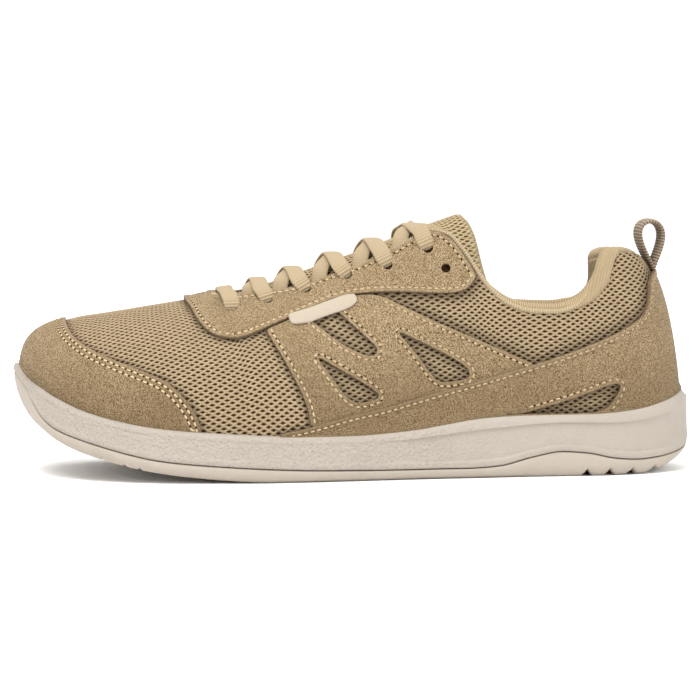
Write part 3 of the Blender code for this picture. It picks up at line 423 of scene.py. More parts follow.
class Finish:
    """A material with its shader, and one method that adds any node."""

    def __init__(self, name, roughness, **constants):
        self.material = bpy.data.materials.new(name)
        self.material.use_nodes = True
        self.tree = self.material.node_tree
        self.shader = self.tree.nodes["Principled BSDF"]
        self.shader.inputs["Roughness"].default_value = roughness
        for socket, value in constants.items():
            self.shader.inputs[socket.replace("_", " ")].default_value = value
        self.place = self.add("ShaderNodeTexCoord", out="Object")

    def add(self, kind, settings=None, inputs=None, out=0):
        node = self.tree.nodes.new(kind)
        for name, value in (settings or {}).items():
            setattr(node, name, value)
        for key, value in (inputs or {}).items():
            if isinstance(value, Value):
                self.tree.links.new(value.socket, node.inputs[key])
            else:
                node.inputs[key].default_value = value
        return Value(self, node.outputs[out])

    def noise(self, scale, detail=2.0, rough=0.5):
        return self.add("ShaderNodeTexNoise", None, {
            "Vector": self.place, "Scale": scale, "Detail": detail, "Roughness": rough})

    def step(self, value, low, high, to_low=0.0, to_high=1.0):
        """Turns value from low to high into to_low to to_high, softly and with firm ends."""
        return self.add(
            "ShaderNodeMapRange", {"interpolation_type": "SMOOTHSTEP"},
            {"Value": value, "From Min": low, "From Max": high, "To Min": to_low, "To Max": to_high},
        )

    def mix(self, factor, low, high):
        return self.add("ShaderNodeMix", {"data_type": "RGBA"}, {0: factor, 6: low, 7: high}, out=2)

    def reading(self, name):
        """A number kept on the mesh, such as the distance from a cut edge."""
        return self.add("ShaderNodeAttribute", {"attribute_name": name}, out="Fac")

    def height(self, axis="Z"):
        """A coordinate of the object in metres."""
        return self.add("ShaderNodeSeparateXYZ", None, {0: self.place}, out=axis)

    def wave(self, value, pitch):
        return self.add("ShaderNodeMath", {"operation": "SINE"}, {0: value * (2 * math.pi / pitch)})

    def wear(self, socket, value):
        self.tree.links.new(value.socket, self.shader.inputs[socket])

    def relief(self, height, depth, strength=1.0):
        """Bump of the given height in metres."""
        sizes = {"Height": height, "Distance": depth, "Strength": strength}
        self.wear("Normal", self.add("ShaderNodeBump", None, sizes, out="Normal"))


LIT = 0.44


def shade(colour, part=1.0, lit=LIT):
    """A colour as a picture shows it, 0 to 255, times part, turned into the shader's linear numbers.

    lit allows for the light: a surface needs less than its colour in the picture.
    """
    return tuple(lit * ((min(v * part, 255) / 255 + 0.055) / 1.055) ** 2.4 for v in colour) + (1.0,)


print("shader tools ready")

# %% [markdown]
# ### Suede
#
# Suede is leather with its inside out: short fibres stand up and catch the light one by one, so a tan skin
# looks like fine salt and pepper. Cut edges show the darker core. Each panel keeps the distance from its edge
# on its points, and the finish reads it: dark core at the cut, a lighter band inside the rolled edge, and
# painted shade in the pulled-in line under the stitches. Towards the sole the suede is painted darker, as shade.

# %% Suede
def suede_finish(name):
    suede = Finish(name, 0.95, Specular_IOR_Level=0.15, Sheen_Weight=0.03)
    edge = suede.reading("edge")
    grain = suede.noise(2500.0, 2.0, 0.75)
    nap = suede.noise(55.0, 3.0, 0.6)
    salt = suede.step(grain, 0.39, 0.61)
    base = suede.mix(salt, shade((104, 74, 34)), shade((250, 222, 176)))
    base = suede.mix(suede.step(nap, 0.30, 0.72, 0.0, 0.30), base, shade((160, 130, 94)))
    # A lighter band just inside the rolled edge.
    light_edge_band = suede.step(edge, 0.2, 0.6) * suede.step(edge, 1.0, 1.6, 1.0, 0.0)
    base = suede.mix(light_edge_band * 0.35, base, shade((206, 182, 148)))
    # Painted shade: the pulled-in stitch groove is coloured a little darker.
    pulled = suede.step(edge, 1.55, 1.95) * suede.step(edge, 1.95, 2.4, 1.0, 0.0)
    base = suede.mix(pulled * 0.15, base, shade((112, 88, 62)))
    cut = suede.step(edge, 0.03, 0.30, 1.0, 0.0)
    base = suede.mix(cut * 0.7, base, shade((138, 108, 84)))
    # Painted shade: the suede is coloured darker towards the sole, where less of the light from above falls.
    base = suede.mix(suede.step(suede.height(), 0.026, 0.064, 0.42, 0.0), base, shade((118, 94, 64)))
    suede.wear("Base Color", base)
    suede.relief(grain * 0.7 + nap * 0.9 - pulled * 0.5, 0.0004, 0.9)
    return suede.material


suede_look = suede_finish("suede look")
print("suede made")

# %% [markdown]
# ### Mesh cloth, knit, rubber, webbing and lace
#
# The upper's cloth is a spacer mesh: long six-sided holes in smooth strands. The holes are real relief, made
# later, and the finish reads how deep a point lies: the walls and floors of the holes are painted dark as the
# shade inside them, and cells close to the suede's edges are painted darker as shade. The lining is a fine
# ribbed knit, the sole a matt off-white rubber with a faint leather-like grain, and webbing and lace are woven
# in ribs, with painted shade in the valleys of knit and weave.

# %% Mesh cloth
def mesh_finish(name, strand, dark):
    mesh = Finish(name, 0.85, Specular_IOR_Level=0.25)
    depth = mesh.reading("depth")
    fibre = mesh.noise(2600.0, 2.0, 0.6)
    broad = mesh.noise(120.0, 2.0, 0.5)
    bright = [min(v * 1.14, 250) for v in strand]
    light = mesh.mix(mesh.step(fibre, 0.32, 0.68), shade(strand, 0.80), shade(bright))
    light = mesh.mix(mesh.step(broad, 0.3, 0.7, 0.0, 0.25), light, shade(strand, 0.88))
    # Painted shade: hole walls and floors, marked by depth, are coloured dark for the shade inside the holes.
    pierced_tone = mesh.mix(mesh.step(depth, 0.05, 0.75), light, shade(dark))
    # Painted shade near the suede's edges.
    shelter = mesh.reading("shelter")
    mesh.wear("Base Color", mesh.mix(shelter * shelter * 0.50, pierced_tone, shade(dark, 0.45)))
    mesh.relief(fibre, 0.00025, 0.7)
    return mesh.material


mesh_look = mesh_finish("mesh look", (222, 194, 154), (104, 72, 34))
tongue_look = mesh_finish("tongue mesh look", (255, 211, 164), (118, 80, 42))
print("mesh cloth made")


# %% Knit lining, insole cloth and binding
def knit_finish(name, thread, valley, pitch=0.9):
    """Ribs at a pitch in millimetres, read from the mesh."""
    knit = Finish(name, 0.9, Specular_IOR_Level=0.2)
    wave = knit.wave(knit.reading("rib"), pitch)
    fibre = knit.noise(2400.0, 2.0, 0.6)
    height = knit.step(wave, -1.0, 1.0)
    # Painted shade: the valleys between the ribs are coloured darker.
    tone = knit.mix(height, shade(valley), shade(thread))
    tone = knit.mix(knit.step(fibre, 0.35, 0.7, 0.0, 0.4), tone, shade(thread, 0.86))
    knit.wear("Base Color", tone)
    knit.relief(height + fibre * 0.4, 0.00035, 0.8)
    return knit.material


lining_look = knit_finish("lining look", (255, 229, 184), (212, 184, 142))
binding_look = knit_finish("binding look", (255, 236, 196), (228, 198, 152), 1.1)
insole_look = knit_finish("insole look", (240, 220, 180), (204, 182, 142), 1.4)
print("knit finishes made")


# %% Rubber
def rubber_finish(name, tone, grain_size, grain_depth, rough):
    rubber = Finish(name, rough, Specular_IOR_Level=0.35)
    cells = {"Vector": rubber.place, "Scale": grain_size, "Smoothness": 0.6}
    grain = rubber.add("ShaderNodeTexVoronoi", {"feature": "SMOOTH_F1"}, cells, out="Distance")
    fine = rubber.noise(900.0, 3.0, 0.6)
    dust = rubber.noise(70.0, 4.0, 0.65)
    # Darker towards the bottom of the sole, and in random dusty patches.
    dust_and_low_darkening = rubber.step(rubber.height(), 0.0, 0.006, 0.18, 0.0) + rubber.step(dust, 0.45, 0.8, 0.0, 0.14)
    base = rubber.mix(dust_and_low_darkening, shade(tone), shade(tone, 0.80))
    rubber.wear("Base Color", rubber.mix(rubber.step(fine, 0.3, 0.7, 0.0, 0.12), base, shade(tone, 0.9)))
    rubber.wear("Roughness", rubber.step(dust, 0.3, 0.7, rough - 0.06, rough + 0.1))
    worn = rubber.step(rubber.height("X"), 0.02, 0.07, 1.0, 0.3)
    rubber.relief((grain * 0.8 + fine * 0.5) * worn, grain_depth, 0.9)
    return rubber.material


midsole_look = rubber_finish("midsole look", (230, 218, 203), 850.0, 0.0008, 0.60)
outsole_look = rubber_finish("outsole look", (240, 226, 209), 1500.0, 0.00010, 0.64)
print("rubber made")


# %% Webbing, lace, tab and thread
def woven_finish(name, thread, valley, pitch):
    """Ribs across a band, read from its own length and width in millimetres."""
    woven = Finish(name, 0.85, Specular_IOR_Level=0.25)
    run, across = woven.reading("run"), woven.reading("across")
    ribs, plait = woven.wave(run, pitch), woven.wave(across, pitch * 0.8)
    fibre = woven.noise(2500.0, 2.0, 0.6)
    pleat = woven.reading("pleat")
    height = (woven.step(ribs * 0.65 + plait * 0.35, -0.9, 0.9) - 0.62) * (pleat * 0.8 + 0.2) + 0.62
    # Painted shade: the valleys between the ribs are coloured darker, more so where the ribs bunch up.
    tone = woven.mix(height, shade(valley), shade(thread))
    tone = woven.mix(woven.step(fibre, 0.35, 0.7, 0.0, 0.35), tone, shade(thread, 0.84))
    woven.wear("Base Color", tone)
    woven.relief(height + fibre * 0.3, 0.0003, 0.8)
    return woven.material


lace_look = woven_finish("lace look", (246, 222, 182), (196, 168, 126), 1.2)
webbing_look = woven_finish("webbing look", (232, 210, 182), (128, 104, 80), 1.25)
tab_look = woven_finish("tab look", (252, 236, 214), (236, 216, 190), 0.5)


def plain_thread(name, tone, rear_tone, lit=LIT):
    """Sewing thread, a little darker towards the heel than at the toe. In a dark tone it is the painted shade of
    needle holes and eyelets.
    """
    thread = Finish(name, 0.9, Specular_IOR_Level=0.05)
    twist = thread.noise(1800.0, 1.0, 0.5)
    toe_to_heel = thread.step(thread.height("X"), -0.060, 0.020)
    base = thread.mix(toe_to_heel, shade(tone, lit=lit), shade(rear_tone, lit=0.88 * lit))
    thread.wear("Base Color", thread.mix(thread.step(twist, 0.35, 0.65, 0.35, 0.0), base, shade((150, 120, 84))))
    thread.relief(twist, 0.0001)
    return thread.material


thread_look = plain_thread("thread look", (252, 228, 184), (246, 219, 174), 0.60)
# Painted shade: this dark tone stands for the shade inside needle holes and eyelets.
hole_shade_look = plain_thread("needle hole look", (58, 34, 12), (50, 30, 12))
print("woven finishes made")


# %% White floor
def floor_finish():
    paper = Finish("floor look", 0.9, Specular_IOR_Level=0.1)
    paper.wear("Base Color", paper.mix(paper.noise(40.0), (0.96, 0.96, 0.96, 1), (0.97, 0.97, 0.97, 1)))
    return paper.material


def plain_object(name, vertices, faces, look, numbers=None, smooth=True):
    """An object at the origin from points and faces, with numbers kept on its points."""
    mesh = bpy.data.meshes.new(name)
    mesh.from_pydata(np.asarray(vertices, float).tolist(), [], [tuple(int(i) for i in face) for face in faces])
    for key, values in (numbers or {}).items():
        mesh.attributes.new(key, "FLOAT", "POINT").data.foreach_set("value", np.asarray(values, np.float32))
    if smooth:
        mesh.shade_smooth()
    mesh.materials.append(look)
    obj = bpy.data.objects.new(name, mesh)
    bpy.context.scene.collection.objects.link(obj)
    return obj


def tidy_mesh(obj, merge=1e-5):
    """Merges doubled points and turns the faces outwards."""
    work = bmesh.new()
    work.from_mesh(obj.data)
    bmesh.ops.remove_doubles(work, verts=work.verts, dist=merge)
    bmesh.ops.recalc_face_normals(work, faces=work.faces)
    work.to_mesh(obj.data)
    work.free()
    return obj


def hand_over(obj, slot, *nodes):
    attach(obj, "root")
    if nodes:
        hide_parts(*nodes)
    obj.data.calc_loop_triangles()
    print(obj.name, "has", len(obj.data.loop_triangles), "triangles")
    return obj


FLOOR_CORNERS = [(-9, -9, 0), (9, -9, 0), (9, 9, 0), (-9, 9, 0)]
floor = plain_object("floor", FLOOR_CORNERS, [(0, 1, 2, 3)], floor_finish(), smooth=False)

# %% [markdown]
# ## The sole
#
# A cupped sole is two mouldings: a thin outsole that carries the tread and wraps up at the toe, and a cup
# glued on it, with a sunk smooth panel along the heel half and a rounded rim that holds the upper. Both are
# lofted from many closed rings. Each ring is the outline moved inwards by an inset, at a height from the
# tables, so the parting line, the lips and the rim stay true all the way round.

# %% Stations round the sole
GROOVES = [(at, 0.0050, 0.0032) for at in (0.833, 0.868, 0.903, 0.938)]
GROOVES += [(at, 0.0022, 0.0012) for at in (0.123, 0.155, 0.177)]


def sole_stations():
    """Evenly spaced ring positions, with exact ones at the edges and points of the tread's grooves."""
    fine = np.linspace(0, 1, 4001)
    length = lengths_along(outline_at(fine))
    half = list(np.interp(np.linspace(0, length[-1], 281), length, fine))
    for along, width, _ in GROOVES:
        marks = [float(angle_of(along + side * width / 2 / SHOE_LENGTH)) for side in (-1, 0, 1)]
        half = [ring for ring in half if not marks[0] - 0.0006 < ring < marks[2] + 0.0006] + marks
        half += [float(angle_of(along + side * width / 4 / SHOE_LENGTH)) for side in (-1, 1)]
    half = np.array(sorted(half))
    return np.concatenate([-half, half[-2:0:-1]]), len(half) - 1


STATIONS, HALFWAY = sole_stations()
STATION_X = outline_at(STATIONS)[:, 0]
print(len(STATIONS), "stations round the sole")


def ring_at(inset, height, rounded=False, level=False, lift=0.0):
    """One closed ring. height is a function of x, read at the outline, or where the ring lies if level."""
    plan = rim_loop(STATIONS, inset)[0] if rounded else loop(STATIONS, inset)[0]
    return np.column_stack([plan, height(plan[:, 0] if level else STATION_X) + lift])


def between(low, high, share):
    return lambda x: low(x) + share * (high(x) - low(x))


def lofted(name, rings, look):
    """A solid through closed rings, closed at both ends by strips across the shoe."""
    count = len(STATIONS)
    faces = []
    for level in range(len(rings) - 1):
        for k in range(count):
            n = (k + 1) % count
            faces.append((level * count + k, level * count + n, (level + 1) * count + n, (level + 1) * count + k))
    for level in (0, len(rings) - 1):
        base = level * count
        for k in range(HALFWAY):
            left, right = base + (count - k - 1) % count, base + (count - k) % count
            strip = dict.fromkeys((base + k, base + k + 1, left, right))
            faces.append(tuple(strip))
    obj = plain_object(name, np.concatenate(rings), faces, look)
    tidy_mesh(obj, 1e-7)
    obj.data.set_sharp_from_angle(angle=math.radians(38))
    return obj


# %% Outsole
def groove_depth(x):
    """How far the tread is cut away at x."""
    cut = np.zeros(np.shape(x))
    for along, width, depth in GROOVES:
        cut = np.maximum(cut, depth * np.clip(1 - np.abs(along_share(x) - along) * SHOE_LENGTH / (width / 2), 0, 1))
    return cut


def tread_ring(inset, share):
    """A ring of the outsole's side. The grooves fade out upwards."""
    points = ring_at(inset, between(bottom_height, seam_height, share))
    points[:, 2] = np.maximum(points[:, 2], bottom_height(STATION_X) + groove_depth(STATION_X) * (1.0 + 0.12 * share))
    return points


outsole_rings = [tread_ring(inset, share) for inset, share in (
    (0.0050, 0.0), (0.0040, 0.012), (0.0031, 0.05), (0.0022, 0.16), (0.0015, 0.28), (0.0009, 0.42), (0.0006, 0.56),
    (0.0004, 0.72), (0.0003, 0.86), (0.0004, 0.96), (0.0008, 1.0))]
outsole_rings.append(ring_at(0.0036, seam_height))
outsole_rings.append(ring_at(0.0048, lambda x: bottom_height(x) + OUTSOLE_LAYER, level=True))
outsole = lofted("sole_bottom", outsole_rings, outsole_look)
hand_over(outsole, "outsole_rubber", "outsole")


# %% Midsole cup
def seam_top(x):
    return seam_height(x) + 0.0004


def lip_height(x):
    return np.minimum(seam_top(x) + 0.0022, 0.5 * (seam_top(x) + rim_height(x)))


def band_height(x):
    return rim_height(x) - 0.25 * (rim_height(x) - lip_height(x))


def panel_depth(x):
    """The smooth sunk panel along the heel half of the side."""
    share = along_share(x)
    return 0.0008 * smoothstep(0.50, 0.62, share) * (1 - smoothstep(0.955, 0.99, share))


def side_ring(inset, height, sunk=0.0, rounded=False):
    return ring_at(inset + sunk * panel_depth(STATION_X), height, rounded)


cup_rings = [
    ring_at(0.0060, lambda x: bottom_height(x) + OUTSOLE_LAYER + CLEARANCE, level=True),
    ring_at(0.0040, seam_top),
    ring_at(0.0012, seam_top), ring_at(0.0007, seam_top), ring_at(0.0003, seam_top, lift=0.0002),
    ring_at(0.0001, seam_top, lift=0.0006), ring_at(0.0000, between(seam_top, lip_height, 0.55)),
    side_ring(0.0000, lip_height), side_ring(0.0001, between(lip_height, band_height, 0.03), 0.35),
    *(side_ring(inset, between(lip_height, band_height, share), sunk) for inset, share, sunk in (
        (0.0002, 0.07, 1.0), (0.0003, 0.2, 1.0), (0.0004, 0.5, 1.0), (0.0005, 0.8, 1.0), (0.0006, 0.93, 1.0),
        (0.0006, 0.97, 0.4))),
    side_ring(0.0005, band_height), side_ring(0.0006, between(band_height, rim_height, 0.35), rounded=False),
]
for lean, rise in ((0.0009, 0.62), (0.0013, 0.80), (0.0018, 0.93), (0.0024, 0.99), (0.0030, 1.0)):
    cup_rings.append(ring_at(lean, between(band_height, rim_height, rise), rounded=True))
inner_rim = rim_loop(STATIONS, RIM_INSET - CLEARANCE)[0]
cup_rings.append(np.array([(*p[:2], h) for p, h in zip(inner_rim, rim_height(STATION_X))]))
cup_rings.append(ring_at(0.0052, between(bed_height, rim_height, 0.5), rounded=True))
cup_rings.append(ring_at(FEATHER_INSET, bed_height, level=True))
midsole = lofted("sole_cup", cup_rings, midsole_look)
hand_over(midsole, "midsole_rubber", "midsole")


# %% Insole
def bed_top(x):
    return bed_height(x) + CLEARANCE + INSOLE_LAYER


inset = FEATHER_INSET + MESH_WALL + 0.0006
insole = lofted("footbed", [
    ring_at(inset + 0.0008, bed_height, level=True, lift=CLEARANCE),
    ring_at(inset, bed_height, level=True, lift=0.0010),
    ring_at(inset, bed_top, level=True, lift=-0.0010), ring_at(inset + 0.0004, bed_top, level=True, lift=-0.0003),
    ring_at(inset + 0.0012, bed_top, level=True), ring_at(inset + 0.0030, bed_top, level=True),
], insole_look)
insole.data.attributes.new("rib", "FLOAT", "POINT").data.foreach_set(
    "value", np.array([v.co.y * 1000 for v in insole.data.vertices], np.float32))
hand_over(insole, "insole_cloth", "insole")

# %% [markdown]
# ## From the picture to the body
#
# The panels were read from the side view, as outlines in shares of length and instep height. Each outline point
# is looked up on the body, and from there all work is done on the surface: a flat chart for cutting the
# panel into triangles, and true steps in millimetres for its edges and stitch rows.

# %% Looking up places
def place(side, along, height):
    """(ring, u) where the body shows this point of the side view."""
    target = np.column_stack([(np.asarray(along) - 0.5) * SHOE_LENGTH, np.asarray(height) * INSTEP_HEIGHT])
    feet, rows = np.meshgrid(np.linspace(0, 1, 201), np.linspace(-0.06, 1, 70), indexing="ij")
    seen = body_at(side * feet, rows)[..., [0, 2]].reshape(-1, 2)
    nearest = np.array([int(np.argmin(((seen - t) ** 2).sum(axis=1))) for t in target])
    foot, u = feet.ravel()[nearest], rows.ravel()[nearest]
    for _ in range(8):
        error = target - body_at(side * foot, u)[:, [0, 2]]
        ring_way, u_way = body_ways(side * foot, u)
        jacobian = np.stack([side * ring_way[:, [0, 2]], u_way[:, [0, 2]]], axis=-1)
        push = np.einsum("nji,nj->ni", jacobian, error)
        square = np.einsum("nji,njk->nik", jacobian, jacobian) + np.eye(2) * 2e-7
        move = np.linalg.solve(square, push[..., None])[..., 0]
        foot, u = np.clip(foot + move[:, 0], 0, 1), np.clip(u + move[:, 1], -0.06, 1)
    return side * foot, u


def step_on_body(ring, u, way):
    """Moves places over the surface by a way in metres. Steps over the vamp's ridge come down its other side."""
    for share in (0.5, 0.5):
        ring_way, u_way = body_ways(ring, u)
        jacobian = np.stack([ring_way, u_way], axis=-1)
        push = np.einsum("nji,nj->ni", jacobian, way * share)
        square = np.einsum("nji,njk->nik", jacobian, jacobian) + np.eye(2) * 1e-9
        move = np.clip(np.linalg.solve(square, push[..., None])[..., 0], -0.03, 0.03)
        ring, u = ring + move[:, 0], u + move[:, 1]
        crossed = (u > 1) & (np.abs(wrap(ring)) < THROAT)
        ring, u = np.where(crossed, -ring, ring), np.where(crossed, 2 - u, np.minimum(u, 1.0))
    return ring, u


FEET = np.linspace(0, 1, 401)
COLUMN = body_at(FEET[:, None], np.linspace(0, 1, 41)[None, :])
COLUMN_LENGTH = np.linalg.norm(np.diff(COLUMN, axis=1), axis=2).sum(axis=1)
ROUND = np.linspace(-2, 2, 1601)
AROUND = lengths_along(body_at(ROUND, 0.35))
AROUND -= np.interp(0, ROUND, AROUND)
SHORTEST, TALLEST = (np.array([COLUMN_LENGTH.min(), COLUMN_LENGTH.max()]) * 1000).round()
print("the sides are", SHORTEST, "to", TALLEST, "mm tall on the surface")


# %% Three charts
class BodyChart:
    """What every chart can do: give a place's point, its outward normal, and the place a step away."""

    def at(self, ring, u):
        return body_at(ring, u)

    def out(self, ring, u):
        return body_out(ring, u)

    def step(self, ring, u, way):
        return step_on_body(ring, u, way)


class SideChart(BodyChart):
    """The body's side laid flat, seen from outside: runs round toe and heel."""

    def flat(self, ring, u):
        height = u * np.interp(np.abs(wrap(ring)), FEET, COLUMN_LENGTH)
        return np.column_stack([-np.interp(ring, ROUND, AROUND), height]) * 1000

    def lift(self, flat):
        ring = np.interp(-flat[:, 0] / 1000, AROUND, ROUND)
        return ring, flat[:, 1] / 1000 / np.interp(np.abs(wrap(ring)), FEET, COLUMN_LENGTH)


class InstepChart(BodyChart):
    """Both sides laid flat from the ridge outwards, seen from above. The throat is an open gap between them."""

    def half_gap(self, foot):
        return np.where(foot > THROAT, read(TOPLINE, "gap", foot), 0.0) * BALL_WIDTH

    def flat(self, ring, u):
        foot = np.abs(ring)
        out = self.half_gap(foot) + (1 - u) * np.interp(foot, FEET, COLUMN_LENGTH)
        return np.column_stack([np.interp(foot, ROUND, AROUND), np.where(ring < 0, -1, 1) * out]) * 1000

    def lift(self, flat):
        foot = np.interp(flat[:, 0] / 1000, AROUND, ROUND)
        u = 1 - (np.abs(flat[:, 1]) / 1000 - self.half_gap(foot)) / np.interp(foot, FEET, COLUMN_LENGTH)
        return np.where(flat[:, 1] < 0, -foot, foot), u


class ToeChart:
    """The toe box seen from a point inside it, like a globe laid flat. Its places are flat points in millimetres."""

    def __init__(self, centre=(-0.085, 0.0, 0.015), tilt=25.0, size=55.0):
        self.centre, self.size = np.array(centre), size
        turn = math.radians(tilt)
        self.axis = np.array([-math.cos(turn), 0.0, math.sin(turn)])
        self.right = np.array([0.0, -1.0, 0.0])
        self.up = np.cross(self.axis, self.right)
        ring, u = np.meshgrid(np.linspace(-0.40, 0.40, 241), np.linspace(-0.06, 1, 71), indexing="ij")
        self.points, self.normals = body_at(ring, u).reshape(-1, 3), body_out(ring, u).reshape(-1, 3)
        corner = (np.arange(240)[:, None] * 71 + np.arange(70)[None, :]).ravel()
        halves = ((71, 72), (72, 1))
        self.faces = np.concatenate([np.column_stack([corner, corner + a, corner + b]) for a, b in halves])
        self.tree = BVHTree.FromPolygons(self.points.tolist(), self.faces.tolist())

    def of(self, points):
        """Flat places of points in space."""
        way = unit(points - self.centre)
        polar = np.arccos(np.clip(way @ self.axis, -1, 1))
        side, rise = way @ self.right, way @ self.up
        reach = polar * self.size / np.maximum(np.hypot(side, rise), 1e-9)
        return side * reach, rise * reach

    def hit(self, a, b):
        polar = np.hypot(a, b)
        share = np.sin(polar / self.size) / np.maximum(polar, 1e-9)
        ways = np.outer(np.cos(polar / self.size), self.axis)
        ways = ways + np.outer(a * share, self.right) + np.outer(b * share, self.up)
        places, normals = [], []
        for way in ways:
            spot, _, face, _ = self.tree.ray_cast(Vector(self.centre), Vector(way))
            ends = self.faces[face]
            away = np.linalg.norm(self.points[ends] - np.array(spot), axis=1)
            share = 1 / (away + 1e-5)
            places.append(spot)
            normals.append((self.normals[ends] * share[:, None]).sum(axis=0))
        return np.array(places), unit(np.array(normals))

    def at(self, a, b):
        return self.hit(np.asarray(a), np.asarray(b))[0]

    def out(self, a, b):
        return self.hit(np.asarray(a), np.asarray(b))[1]

    def step(self, a, b, way):
        return self.of(self.at(a, b) + way)

    def flat(self, a, b):
        return np.column_stack([a, b])

    def lift(self, flat):
        return flat[:, 0], flat[:, 1]


SIDE_CHART, INSTEP_CHART, TOE_CHART = SideChart(), InstepChart(), ToeChart()


def even(points, spacing, closed=True):
    """The same line with evenly spaced points."""
    points = np.vstack([points, points[:1]]) if closed else np.asarray(points)
    at = lengths_along(points)
    count = max(int(round(at[-1] / spacing)), 3) + 1
    line = points_at(np.linspace(0, at[-1], count), at, points)
    return line[:-1] if closed else line


def soften(points, radius, closed=True):
    """Rounds the corners of an outline. Blunt corners get a longer curve than sharp ones."""
    points = np.asarray(points, float)
    count = len(points)
    made = []
    for k in range(count):
        if not closed and k in (0, count - 1):
            made.append(points[k][None])
            continue
        before, here, after = points[k - 1], points[k], points[(k + 1) % count]
        into, onward = here - before, after - here
        first, second = np.linalg.norm(into), np.linalg.norm(onward)
        turn = math.acos(float(np.clip(into @ onward / (first * second), -1, 1)))
        reach = radius * (1 + 3 * max(0.0, math.cos(turn)))
        a = here - into / first * min(reach, first * 0.49)
        b = here + onward / second * min(reach, second * 0.49)
        t = np.linspace(0, 1, 9)[:, None]
        made.append((1 - t) ** 2 * a + 2 * t * (1 - t) * here + t**2 * b)
    return np.vstack(made)


def picture_line(points, radius=3.0, closed=True, spacing=1.0):
    """A side-view outline, in shares, softened and evenly spaced, as shares again."""
    scale = np.array([SHOE_LENGTH, INSTEP_HEIGHT]) * 1000
    return even(soften(np.array(points) * scale, radius, closed), spacing, closed) / scale


def inside(points, loops):
    """Which flat points lie inside an outline and outside its windows."""
    odd = np.zeros(len(points), bool)
    for loop_points in loops:
        ends = np.roll(loop_points, -1, axis=0)
        for (x0, y0), (x1, y1) in zip(loop_points, ends):
            if y0 != y1:
                crosses = (points[:, 1] < y0) != (points[:, 1] < y1)
                odd ^= crosses & (points[:, 0] < (x1 - x0) * (points[:, 1] - y0) / (y1 - y0) + x0)
    return odd


def turned(flat, counterclockwise):
    area = np.sum(flat[:, 0] * np.roll(flat[:, 1], -1) - np.roll(flat[:, 0], -1) * flat[:, 1])
    return (area > 0) == counterclockwise


def nearest_distance(points, others):
    return np.array([np.sqrt(((others - p) ** 2).sum(axis=1).min()) for p in points])


print("charts and outlines ready")

# %% [markdown]
# ## Panels
#
# A suede panel is a flat skin of even thickness, cut with a knife, so its edge is square but worn a little
# round, and the stitches pull it down in a shallow groove. The panel is built from its own outline: rows of
# points climb over the rolled edge, then a Delaunay cut fills the middle with even triangles.
# This gives smoother edges than cutting a thick shell with a Boolean.

# %% Making a panel
def edge_line(chart, ring, u, distance):
    """The line at a distance inwards of a closed outline."""
    points, out = chart.at(ring, u), chart.out(ring, u)
    along = unit(np.roll(points, -1, axis=0) - np.roll(points, 1, axis=0))
    return chart.step(ring, u, np.cross(out, along) * distance)


def sewn_edge(chart, lines, under=None):
    """The points of a panel's edges that are sewn: not those behind the rim or under a neighbour."""
    points = np.vstack([chart.at(*line) for line in lines])
    points = points[points[:, 2] > rim_height(points[:, 0]) + 0.0016]
    if under is not None:
        points = points[nearest_distance(points, under) > 0.0024]
    return points


ROLL = ((0.12, 0.0), (0.0, 0.30), (0.0, 0.60), (0.10, 0.84), (0.34, 0.965), (0.80, 1.0))


STITCH_ROW = 1.9
TOE_ROWS = (STITCH_ROW, 3.9)


